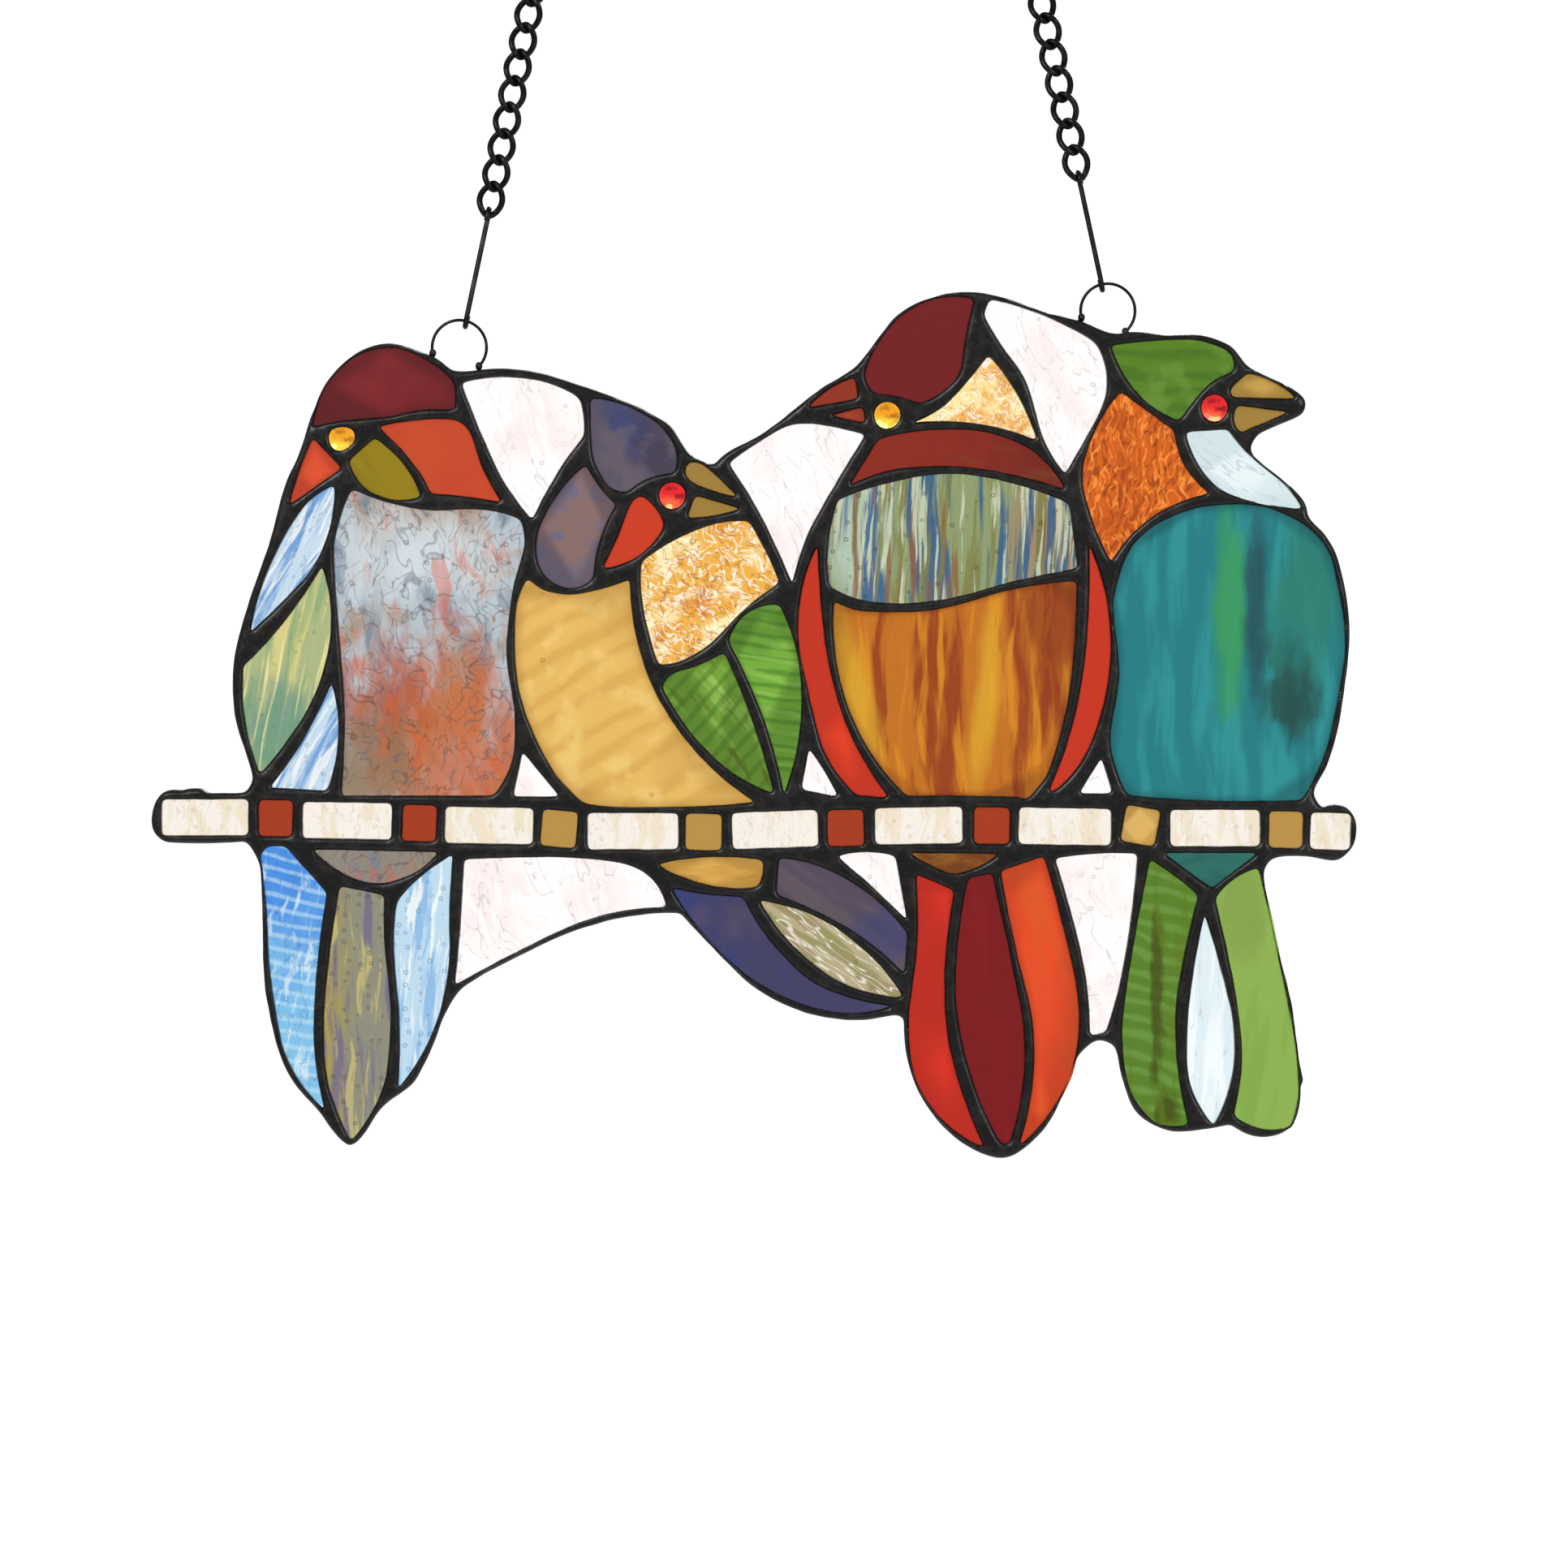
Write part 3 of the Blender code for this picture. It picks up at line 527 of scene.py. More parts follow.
def make_fade():
    """The group for one colour that fades into another between two places."""
    tree, inlets, outlets = effect(
        "Fade",
        {"From": (0.0, 0.0, 0.0), "To": (0.0, 0.0, 100.0), "Ragged": 0.1, "Seed": 0.0, "Strength": 1.0},
    )
    way = add(tree, "VectorMath", {0: inlets["To"], 1: inlets["From"]}, operation="SUBTRACT")
    gone = add(tree, "VectorMath", {0: inlets["Vector"], 1: inlets["From"]}, operation="SUBTRACT")
    gone = add(tree, "VectorMath", {0: gone, 1: way}, outlet="Value", operation="DOT_PRODUCT")
    whole = add(tree, "VectorMath", {0: way, 1: way}, outlet="Value", operation="DOT_PRODUCT")
    across, along = across_and_along(tree, inlets["Vector"])
    edge = grain(tree, across, along, 25.0, 60.0, inlets["Seed"], 3.0)
    share = plus(tree, over(tree, gone, whole), swayed(tree, edge, inlets["Ragged"]))
    give(tree, faded(tree, share, 0.0, 1.0), inlets, outlets["Mask"])


def make_rim():
    """The group for a colour painted along a pane's rim, which each sheet holds as its distance in squares:
    painted shade next to the solder where the colour is darker, a painted highlight where it is lighter.
    """
    tree, inlets, outlets = effect("Rim", {"Width": 8.0, "Strength": 1.0})
    rim = add(tree, "Attribute", outlet="Fac", attribute_name="rim")
    give(tree, faded(tree, rim, 0.0, inlets["Width"], 1.0, 0.0), inlets, outlets["Mask"])


def make_effects():
    """The node groups that the kinds of glass are mixed from. They read the drawing's squares."""
    limits = {"Low": 0.45, "High": 0.6, "Strength": 1.0}
    make_flowing_effects(limits)
    make_clouds(limits)
    make_patch()
    make_ribs()
    make_bubbles()
    make_fade()
    make_rim()


# Glass


def layer(name, code, **settings):
    """One more colour over the glass, where an effect's mask says. Leans are in degrees."""
    sockets = {key.replace("_", " ").title(): value for key, value in settings.items()}
    if "Lean" in sockets:
        sockets["Lean"] = math.radians(sockets["Lean"])
    return name, code, sockets


def streaks(code, lean, size, band, strength, wander=8.0):
    """Soft streaks: their lean, their width and length, and the band of the grain in which they come up."""
    flow = {"lean": lean, "across": size[0], "along": size[1], "wander": wander}
    return layer("Streaks", code, **flow, low=band[0], high=band[1], strength=strength)


def hairlines(code, lean, size, width, strength, wander=8.0):
    """Thin lines: their lean, how far apart and how long they are, and their width in parts of the grain."""
    flow = {"lean": lean, "across": size[0], "along": size[1], "wander": wander}
    return layer("Hairlines", code, **flow, width=width, strength=strength)


def clouds(code, size, band, strength):
    """Soft clouds: their size, and the band of the grain in which they come up."""
    return layer("Clouds", code, size=size, low=band[0], high=band[1], strength=strength)


def ribs(code, lean, pitch, wander, grain, band, strength):
    """Ribs along the lean: their pitch, how far they wander, over what grain, and the band that shows."""
    wave = {"lean": lean, "pitch": pitch, "wander": wander, "grain": grain}
    return layer("Ribs", code, **wave, low=band[0], high=band[1], strength=strength)


def rim_painted_shade_and_highlight(code, width, strength):
    """Another colour along the pane's rim, as wide as the width: painted shade where it is darker, a painted
    highlight where it is lighter.
    """
    return layer("Rim", code, width=width, strength=strength)


def fade(code, start, end, strength, ragged=0.1):
    """A fade into another colour from one place on the drawing to another."""
    name, code, sockets = layer("Fade", code, to=(end[0], 0.0, end[1]), ragged=ragged, strength=strength)
    return name, code, {**sockets, "From": (start[0], 0.0, start[1])}


def patch(code, across, down, half_width, half_height, **settings):
    """A soft patch of another colour in the glass."""
    half_size = (half_width, 1.0, half_height)
    return layer("Patch", code, middle=(across, 0.0, down), half_size=half_size, **settings)


def bubbles(code, share, spacing, size, strength):
    """Small bubbles, each a ring of painted shade: the share of places that have one, the places' spacing, and
    the bubbles' size.
    """
    return layer("Bubbles", code, share=share, spacing=spacing, size=size, strength=strength)


def squares_of_drawing(tree):
    """The drawing's own coordinates on the glass: squares across, through and down."""
    place = add(tree, "TexCoord", outlet="Object")
    return add(
        tree, "Mapping",
        {"Vector": place, "Location": (-DRAWING_LEFT / SQUARE, 0.0, DRAWING_TOP / SQUARE),
         "Scale": (1 / SQUARE, 1 / SQUARE, -1 / SQUARE)},
    )


def use_effect(tree, name, sockets, outlet="Mask"):
    """One of the effects in a material, with its sockets set or wired. Gives back an outlet."""
    node = tree.nodes.new("ShaderNodeGroup")
    node.node_tree = bpy.data.node_groups[name]
    for socket, value in sockets.items():
        if isinstance(value, bpy.types.NodeSocket):
            tree.links.new(value, node.inputs[socket])
        else:
            node.inputs[socket].default_value = value
    return node.outputs[outlet]


def mixed(tree, factor, under, over):
    """One colour over another."""
    return add(tree, "Mix", {0: factor, 6: under, 7: over}, outlet=2, data_type="RGBA")


def blank_material(name):
    """A material with no nodes yet, and its tree."""
    material = bpy.data.materials.new(name)
    material.use_nodes = True
    material.node_tree.nodes.clear()
    return material, material.node_tree


def surfaced(tree, sockets):
    """Gives a material its surface."""
    surface = add(tree, "BsdfPrincipled", sockets)
    output = tree.nodes.new("ShaderNodeOutputMaterial")
    tree.links.new(surface, output.inputs["Surface"])


def glass(name, ground, layers, roughness):
    """A kind of glass: a ground colour, and more colours laid over it in turn."""
    material, tree = blank_material(name)
    drawing = squares_of_drawing(tree)
    colour = colour_of(ground)
    for number, (effect_name, code, sockets) in enumerate(layers):
        group = bpy.data.node_groups[effect_name]
        sockets = dict(sockets)
        if "Seed" in group.interface.items_tree:
            sockets.setdefault("Seed", len(name) + 1.7 * number)
        mask = use_effect(tree, effect_name, {"Vector": drawing, **sockets})
        colour = mixed(tree, mask, colour, colour_of(code))
    surfaced(tree, {"Base Color": colour, "Roughness": roughness, "IOR": 1.5, "Transmission Weight": 1.0})
    return material


CLEAR_LAYERS = [
    clouds("F6E7E4", 70, (0.42, 0.62), 0.7),
    hairlines("B9B3B2", 25, (26, 90), 0.012, 0.55, wander=14),
    hairlines("C8C2C2", -35, (22, 70), 0.008, 0.45, wander=10),
    streaks("FFFFFF", 20, (12, 80), (0.5, 0.62), 0.6),
    bubbles("8C8886", 0.25, 34, 2, 0.5),
]

BODY_ONE = [
    clouds("A3825F", 70, (0.44, 0.6), 0.75),
    streaks("6F7F90", 4, (34, 120), (0.5, 0.62), 0.8, wander=26),
    patch("D5DDE2", 545, 690, 70, 50, ragged=0.5, grain=34, strength=0.75),
    patch("D5DDE2", 470, 690, 40, 60, ragged=0.5, grain=34, strength=0.55),
    patch("C4662F", 560, 920, 90, 110, ragged=0.7, grain=36, strength=0.85),
    patch("B0532B", 470, 870, 40, 70, ragged=0.8, grain=26, strength=0.7),
    patch("8A7458", 450, 940, 60, 60, ragged=0.5, grain=30, strength=0.7),
    streaks("D55A1E", 6, (22, 90), (0.56, 0.66), 0.5, wander=20),
    hairlines("4F5E68", 3, (22, 60), 0.02, 0.5, wander=20),
    hairlines("63412C", -8, (26, 50), 0.016, 0.6, wander=24),
    bubbles("4C4038", 0.35, 24, 2, 0.6),
]

WING_BLUE = [
    streaks("5C93D0", -28, (9, 120), (0.46, 0.6), 0.85, wander=5),
    streaks("F2F6F4", -28, (7, 90), (0.53, 0.62), 0.8, wander=4),
    hairlines("49719E", -26, (8, 60), 0.02, 0.5, wander=5),
    bubbles("456B96", 0.5, 20, 1.8, 0.5),
]

# Each pane's ground colour, the colours over it, and how rough its face is. The rim layers are painted shade
# next to the solder.
PANE_GLASS = {
    "bird_one_crown": ("701A20", [
        clouds("8A252C", 80, (0.45, 0.65), 0.5),
        rim_painted_shade_and_highlight("4E1014", 14, 0.6),
    ], 0.3),
    "bird_one_face": ("DB4D26", [rim_painted_shade_and_highlight("A83218", 10, 0.7)], 0.35),
    "bird_one_cheek": ("E0582C", [
        clouds("EA6A38", 60, (0.42, 0.6), 0.7),
        fade("C8441E", (600, 520), (480, 640), 0.3),
        rim_painted_shade_and_highlight("B5381A", 9, 0.7),
    ], 0.35),
    "bird_one_throat": ("B89A12", [
        streaks("8E7A10", 40, (16, 80), (0.45, 0.65), 0.6),
        rim_painted_shade_and_highlight("6E6008", 9, 0.6),
    ], 0.3),
    "bird_one_wing_upper": ("C3D9EA", WING_BLUE, 0.12),
    "bird_one_wing_middle": ("A9B482", [
        streaks("D6CC84", -12, (11, 200), (0.48, 0.6), 0.9, wander=6),
        patch("5F8F84", 345, 900, 45, 60, ragged=0.5, strength=0.8),
        streaks("6F9E72", -10, (14, 120), (0.5, 0.62), 0.5),
        streaks("F0E5A0", -12, (6, 160), (0.56, 0.64), 0.8, wander=5),
        bubbles("4E6A5C", 0.6, 15, 1.5, 0.5),
    ], 0.12),
    "bird_one_wing_lower": ("C3D9EA", WING_BLUE, 0.12),
    "bird_one_body": ("B4C0C8", BODY_ONE, 0.15),
    "bird_one_vent": ("8D8478", BODY_ONE[:2] + BODY_ONE[7:], 0.15),
    "bird_one_tail_left": ("7FBEE4", [
        fade("3E86DE", (370, 1260), (350, 1080), 0.9, ragged=0.25),
        ribs("BFE0EE", 80, 16, 1.2, 60, (0.5, 1), 0.5),
        streaks("D8ECF2", -10, (10, 60), (0.53, 0.64), 0.7),
        hairlines("3B78B8", 6, (12, 60), 0.02, 0.5),
        bubbles("3F7AAE", 0.6, 16, 2, 0.6),
    ], 0.12),
    "bird_one_tail_middle": ("8C8A78", [
        fade("A99A3C", (440, 1100), (400, 1100), 0.9, ragged=0.3),
        streaks("6B6488", 2, (14, 160), (0.48, 0.62), 0.8),
        streaks("C9BE74", -2, (9, 100), (0.54, 0.64), 0.7),
        bubbles("4A443A", 0.6, 14, 1.8, 0.7),
    ], 0.12),
    "bird_one_tail_right": ("BBD8EA", [
        streaks("7FB2E0", -6, (12, 130), (0.48, 0.62), 0.8),
        streaks("F4F8F4", -6, (8, 90), (0.54, 0.63), 0.8),
        bubbles("4E7EA8", 0.7, 15, 2, 0.6),
    ], 0.12),
    "bird_two_crown": ("6B6076", [
        patch("2F4A8C", 790, 540, 22, 60, lean=40, ragged=0.5, strength=0.85),
        patch("4A3A38", 815, 570, 24, 50, lean=20, ragged=0.5, strength=0.7),
        clouds("8A7C80", 40, (0.5, 0.65), 0.5),
        rim_painted_shade_and_highlight("3A3342", 10, 0.5),
    ], 0.35),
    "bird_two_nape": ("6F6577", [
        clouds("8A6A62", 50, (0.45, 0.6), 0.8),
        clouds("5E6385", 36, (0.52, 0.66), 0.7),
        rim_painted_shade_and_highlight("423A48", 10, 0.5),
    ], 0.35),
    "bird_two_cheek": ("E6451F", [rim_painted_shade_and_highlight("B02E14", 10, 0.6)], 0.35),
    "bird_two_chest": ("EDB04A", [
        clouds("FFF0B4", 46, (0.45, 0.6), 0.9),
        clouds("DE8A2C", 34, (0.52, 0.66), 0.8),
        # The light and dark hairlines are painted highlight and painted shade, for the light that the rippled
        # glass bends.
        hairlines("FFFFF0", 60, (9, 22), 0.05, 0.8, wander=8),
        hairlines("B5661C", 55, (11, 26), 0.035, 0.7, wander=9),
        bubbles("7A4A1C", 0.3, 22, 2, 0.7),
    ], 0.08),
    "bird_two_body": ("E3B860", [
        ribs("CE9A44", -62, 34, 1.6, 70, (0.3, 1), 0.45),
        clouds("F0CE7C", 40, (0.5, 0.64), 0.6),
        rim_painted_shade_and_highlight("A8782E", 14, 0.5),
        bubbles("8A6428", 0.1, 34, 2, 0.6),
    ], 0.35),
    "bird_two_wing_left": ("74A038", [
        streaks("9CC65A", 38, (18, 120), (0.5, 0.64), 0.7),
        ribs("4F7A22", -40, 17, 1, 40, (0.4, 1), 0.6),
        streaks("5B5E1C", 38, (10, 70), (0.55, 0.66), 0.7),
        rim_painted_shade_and_highlight("35550F", 10, 0.5),
    ], 0.15),
    "bird_two_wing_right": ("74AA3A", [
        ribs("4D8427", 84, 15, 1, 40, (0.35, 1), 0.75),
        ribs("97C758", 80, 21, 1, 30, (0.6, 1), 0.5),
        patch("436F20", 935, 775, 34, 26, ragged=0.4, strength=0.5),
        rim_painted_shade_and_highlight("35550F", 9, 0.5),
    ], 0.15),
    "bird_two_vent": ("D8A850", [
        streaks("C08A34", 85, (16, 90), (0.45, 0.62), 0.7),
        rim_painted_shade_and_highlight("8E6420", 8, 0.5),
    ], 0.35),
    "bird_two_tail_lower": ("4E4A74", [
        streaks("2F4A96", 50, (26, 140), (0.47, 0.62), 0.8),
        clouds("6E6076", 50, (0.5, 0.66), 0.6),
        rim_painted_shade_and_highlight("2C2A48", 10, 0.5),
    ], 0.35),
    "bird_two_tail_middle": ("B5A985", [
        streaks("8E8A52", 55, (12, 120), (0.46, 0.6), 0.8),
        streaks("A08570", 55, (10, 90), (0.52, 0.64), 0.7),
        hairlines("F4F1E4", 54, (10, 70), 0.03, 0.8, wander=4),
        bubbles("5A5240", 0.4, 18, 1.8, 0.6),
    ], 0.1),
    "bird_two_tail_upper": ("63566A", [
        streaks("7C6A6C", 55, (24, 120), (0.47, 0.62), 0.7),
        patch("34478C", 1095, 1150, 50, 26, ragged=0.5, strength=0.6),
        rim_painted_shade_and_highlight("3C3444", 10, 0.5),
    ], 0.35),
    "bird_three_crown": ("8E2023", [rim_painted_shade_and_highlight("5A1013", 16, 0.65)], 0.3),
    "bird_three_cheek": ("FFDF96", [
        clouds("E9A54A", 26, (0.48, 0.62), 0.8),
        # The light and dark hairlines are painted highlight and painted shade, for the light that the rippled
        # glass bends.
        hairlines("FFFFF4", 50, (9, 20), 0.05, 0.8, wander=8),
        hairlines("C8822C", 40, (10, 22), 0.03, 0.6, wander=8),
    ], 0.08),
    "bird_three_collar": ("B03420", [
        fade("7A2A1A", (1120, 560), (1300, 590), 0.8, ragged=0.2),
        streaks("8A5A20", 80, (18, 120), (0.54, 0.66), 0.5),
        rim_painted_shade_and_highlight("641810", 9, 0.6),
    ], 0.3),
    "bird_three_chest": ("8C9A6C", [
        patch("B5C9B9", 1060, 650, 34, 90, ragged=0.3, strength=0.8),
        patch("A07F63", 1290, 660, 50, 90, ragged=0.3, strength=0.7),
        streaks("2E5B86", -2, (16, 260), (0.5, 0.6), 0.9, wander=12),
        streaks("7C7B3F", -3, (12, 200), (0.5, 0.6), 0.8, wander=8),
        streaks("8A5A35", -3, (10, 200), (0.54, 0.63), 0.8, wander=8),
        streaks("C9D2B4", -3, (7, 120), (0.56, 0.64), 0.8, wander=6),
        bubbles("3A3A2C", 0.5, 18, 1.8, 0.7),
    ], 0.1),
    "bird_three_belly": ("C0701C", [
        streaks("8A2A12", 3, (24, 220), (0.47, 0.62), 0.8, wander=18),
        streaks("D88A1F", 2, (18, 180), (0.5, 0.62), 0.8, wander=12),
        patch("D6A32A", 1045, 850, 26, 110, lean=12, ragged=0.3, strength=0.8),
        patch("DCA82C", 1215, 860, 14, 110, lean=-6, ragged=0.3, strength=0.7),
        patch("7E1E10", 1300, 760, 40, 70, ragged=0.5, strength=0.7),
        rim_painted_shade_and_highlight("6A2408", 10, 0.5),
    ], 0.25),
    "bird_three_wing_left": ("DE3A1A", [rim_painted_shade_and_highlight("A82410", 9, 0.6)], 0.35),
    "bird_three_wing_right": ("E43E1C", [rim_painted_shade_and_highlight("A82410", 9, 0.6)], 0.35),
    "bird_three_vent": ("8A4A18", [
        streaks("B5782A", 85, (20, 60), (0.45, 0.6), 0.8),
        rim_painted_shade_and_highlight("52280A", 8, 0.5),
    ], 0.25),
    "bird_three_tail_left": ("DA2E1A", [rim_painted_shade_and_highlight("9E1C10", 12, 0.6)], 0.35),
    "bird_three_tail_middle": ("98141C", [
        streaks("B01C20", 2, (30, 200), (0.5, 0.65), 0.6),
        rim_painted_shade_and_highlight("5E0A0E", 14, 0.6),
    ], 0.3),
    "bird_three_tail_right": ("E44A1E", [
        streaks("D6581E", 4, (30, 160), (0.48, 0.64), 0.7),
        rim_painted_shade_and_highlight("A83012", 12, 0.6),
    ], 0.35),
    "bird_four_head": ("6B9A2C", [
        ribs("4F7D22", 88, 22, 1.6, 50, (0.3, 1), 0.7),
        clouds("86B04A", 40, (0.5, 0.64), 0.7),
        rim_painted_shade_and_highlight("35580F", 10, 0.5),
    ], 0.2),
    "bird_four_nape": ("D2601A", [
        # The dark and light hairlines are painted shade and painted highlight, for the light that the rippled
        # glass bends.
        hairlines("8A3A10", -12, (12, 40), 0.06, 0.8, wander=8),
        hairlines("FF9A3C", -8, (10, 34), 0.05, 0.8, wander=8),
        clouds("B04A12", 30, (0.5, 0.66), 0.6),
    ], 0.08),
    "bird_four_throat": ("E4F1F3", [
        hairlines("A8BAC0", 60, (14, 90), 0.02, 0.6, wander=6),
        rim_painted_shade_and_highlight("B9CDD2", 8, 0.5),
    ], 0.15),
    "bird_four_body": ("1F7A80", [
        streaks("2E9296", 0, (26, 180), (0.45, 0.62), 0.8, wander=14),
        patch("3A9A50", 1515, 760, 18, 130, ragged=0.35, grain=26, strength=0.8),
        patch("1F4048", 1548, 740, 14, 120, ragged=0.4, grain=26, strength=0.75),
        patch("1E3A2E", 1590, 850, 30, 60, ragged=0.6, grain=26, strength=0.8),
        patch("2C7C60", 1610, 740, 40, 90, ragged=0.5, strength=0.6),
        rim_painted_shade_and_highlight("0E4448", 12, 0.55),
    ], 0.25),
    "bird_four_vent": ("348276", [
        streaks("2A6B66", 80, (16, 60), (0.46, 0.62), 0.8),
        rim_painted_shade_and_highlight("184A44", 9, 0.5),
    ], 0.25),
    "bird_four_tail_left": ("6D9A33", [
        ribs("8DBF5A", 75, 20, 1.6, 40, (0.3, 1), 0.7),
        patch("4A3A0A", 1425, 1230, 8, 110, ragged=0.8, grain=20, strength=0.85),
        patch("4A3A0A", 1437, 1368, 14, 22, ragged=0.4, grain=12, strength=0.9),
        streaks("7A8A1E", 0, (16, 80), (0.5, 0.64), 0.6),
        rim_painted_shade_and_highlight("35580F", 9, 0.5),
    ], 0.15),
    "bird_four_tail_middle": ("DCEBF0", [
        streaks("F4FAFA", -4, (14, 160), (0.48, 0.62), 0.8),
        hairlines("A4B8C2", -4, (14, 120), 0.015, 0.5),
    ], 0.15),
    "bird_four_tail_right": ("A3C860", [
        streaks("8DB850", -12, (22, 180), (0.46, 0.62), 0.8),
        patch("8A9A50", 1530, 1120, 26, 60, ragged=0.4, strength=0.6),
        rim_painted_shade_and_highlight("6E9038", 10, 0.5),
    ], 0.25),
}

# The rim layers of the tiles and beak slips are painted shade next to the solder.
TILE_GLASS = {
    "white": ("F3ECE2", [
        streaks("EBDCC0", 0, (14, 60), (0.47, 0.6), 0.8),
        hairlines("CFC4B4", 0, (16, 50), 0.015, 0.5),
        bubbles("9A8E7E", 0.4, 20, 1.8, 0.4),
    ], 0.2, "clear_glass"),
    "orange": ("CB4A20", [rim_painted_shade_and_highlight("8E2C10", 7, 0.7)], 0.3, "orange_glass"),
    "tan": ("DAB060", [rim_painted_shade_and_highlight("A47C34", 7, 0.7)], 0.35, "tan_glass"),
    "horn": ("BE9748", [rim_painted_shade_and_highlight("8A6A28", 7, 0.7)], 0.35, "tan_glass"),
    "rust": ("B2401F", [rim_painted_shade_and_highlight("7A2410", 7, 0.7)], 0.35, "orange_glass"),
}
TILE_ORDER = (
    "white", "orange", "white", "orange", "white", "tan", "white", "tan", "white",
    "orange", "white", "orange", "white", "tan", "white", "tan", "white",
)
BEAK_ORDER = ("horn", "horn", "rust", "rust", "horn", "horn")


def relief(x, z, kind):
    """How far the glass's face stands out at a place: rolled and hammered sheets are uneven."""
    depth, width, height, seed = RELIEF[kind]
    swirl = 0.0
    if kind == "ripple":
        swirl = noise.noise((x / RIPPLE_SWIRL, z / RIPPLE_SWIRL, 5.0)) * 2
    return depth * noise.noise((x / width + swirl, z / height - swirl, seed))


def kind_of_sheet(name):
    """Which of the kinds of relief a pane's sheet has."""
    if name.endswith(RIPPLED):
        return "ripple"
    return "seedy" if any(word in name for word in SEEDY) else "plain"


def uneven_sheet(name, low, high):
    """A rectangular sheet of glass with uneven faces, between two corners in the panel's plane."""
    middle, size = (low + high) / 2, high - low
    across, down = (max(2, round(side / PANE_GRID)) for side in size)
    bpy.ops.mesh.primitive_grid_add(
        x_subdivisions=across, y_subdivisions=down, size=1, location=(middle[0], -GLASS_FACE, middle[1]),
        rotation=(math.pi / 2, 0, 0), scale=(size[0], size[1], 1),
    )
    sheet = bpy.context.object
    sheet.name = sheet.data.name = name
    place_applied(sheet)
    thickened(sheet, 2 * GLASS_FACE)
    kind = kind_of_sheet(name)
    for corner in sheet.data.vertices:
        corner.co.y += math.copysign(relief(corner.co.x, corner.co.z, kind), corner.co.y)
    return sheet


def trimmed(sheet, cut):
    """Trims a sheet to an outline."""
    outline = bpy.data.meshes.new(sheet.name + "_outline")
    outline.from_pydata([(x, -2 * GLASS_FACE, z) for x, z in cut[::-1]], [], [range(len(cut))])
    cutter = bpy.data.objects.new(sheet.name + "_outline", outline)
    bpy.context.scene.collection.objects.link(cutter)
    thickened(cutter, 4 * GLASS_FACE)
    trim = sheet.modifiers.new("trim", "BOOLEAN")
    trim.operation = "INTERSECT"
    trim.object = cutter
    apply_modifiers(sheet)
    bpy.data.objects.remove(cutter)


def cut_glass(name, opening, material):
    """A pane of glass, cut a little larger than the opening that it shows in."""
    cut = opening + left_of(opening) * UNDER_SEAM
    sheet = uneven_sheet(name, cut.min(0) - SHEET_MARGIN, cut.max(0) + SHEET_MARGIN)
    trimmed(sheet, cut)
    sheet.data.materials.clear()
    sheet.data.materials.append(material)
    places = np.array([(corner.co.x, corner.co.z) for corner in sheet.data.vertices])
    rim = distances([opening], places) * inside(opening, places) / SQUARE
    sheet.data.attributes.new("rim", "FLOAT", "POINT").data.foreach_set("value", rim.astype(np.float32))
    smooth(sheet, 50)
    return sheet


def rounded(distance, start, top):
    """The face of a seam that rises from a start at its border to a rounded top."""
    reach = np.clip(distance / SEAM_SHOULDER, 0, 1)
    return start + (top - start) * np.sqrt(1 - (1 - reach) ** 2)


def seam_face(to_pane, to_rim, places, top, seed):
    """How far the solder stands out at each place, by its distances from the panes and the rim."""
    swell = [noise.noise((x / SWELL_LENGTH, z / SWELL_LENGTH, seed)) * SWELL_DEPTH for x, z in places]
    top = top + np.array(swell)
    return np.minimum(rounded(to_pane, GLASS_FACE, top), rounded(to_rim, RIM_START, top))


def in_solder(rim, openings, places):
    """Which of the places lie on the solder: inside the rim, and in none of the openings."""
    return inside(rim, places) & ~np.any([inside(opening, places) for opening in openings], axis=0)


def seam_places(rim, openings):
    """The points of the solder's face: its borders, rings beside them, and a grid between."""
    outlines = [rim] + openings
    places = [np.concatenate(outlines)]
    for reach in SEAM_RINGS:
        ring = np.concatenate([outline + left_of(outline) * reach for outline in outlines])
        places.append(ring[distances(outlines, ring) > RING_KEPT * reach])
    low, high = rim.min(0), rim.max(0)
    columns = np.arange(low[0], high[0], SEAM_GRID)
    rows = np.arange(low[1], high[1], SEAM_GRID * GRID_ROW)
    x, z = np.meshgrid(columns, rows)
    x[::2] += SEAM_GRID / 2
    grid = np.stack([x.ravel(), z.ravel()], 1)
    grid = grid[in_solder(rim, openings, grid)]
    places.append(grid[distances(outlines, grid) > SEAM_RINGS[-1] + SEAM_GRID * GRID_CLEARANCE])
    return np.concatenate(places)


def seam_triangles(rim, openings):
    """The solder's outline as triangles that all turn the same way, with their corners."""
    borders, first = [], 0
    for outline in [rim] + openings:
        count = len(outline)
        borders += [(first + i, first + (i + 1) % count) for i in range(count)]
        first += count
    places = seam_places(rim, openings)
    found = delaunay_2d_cdt([Vector(place) for place in places], borders, [], 0, 1e-7)
    places = np.array([tuple(place) for place in found[0]])
    triangles = np.array(found[2])
    triangles = triangles[in_solder(rim, openings, places[triangles].mean(1))]
    used, triangles = np.unique(triangles, return_inverse=True)
    places, triangles = places[used], triangles.reshape(-1, 3)
    start, side_one, side_two = (places[triangles[:, i]] for i in range(3))
    turned = np.cross(side_one - start, side_two - start) < 0
    triangles[turned] = triangles[turned][:, ::-1]
    return places, triangles


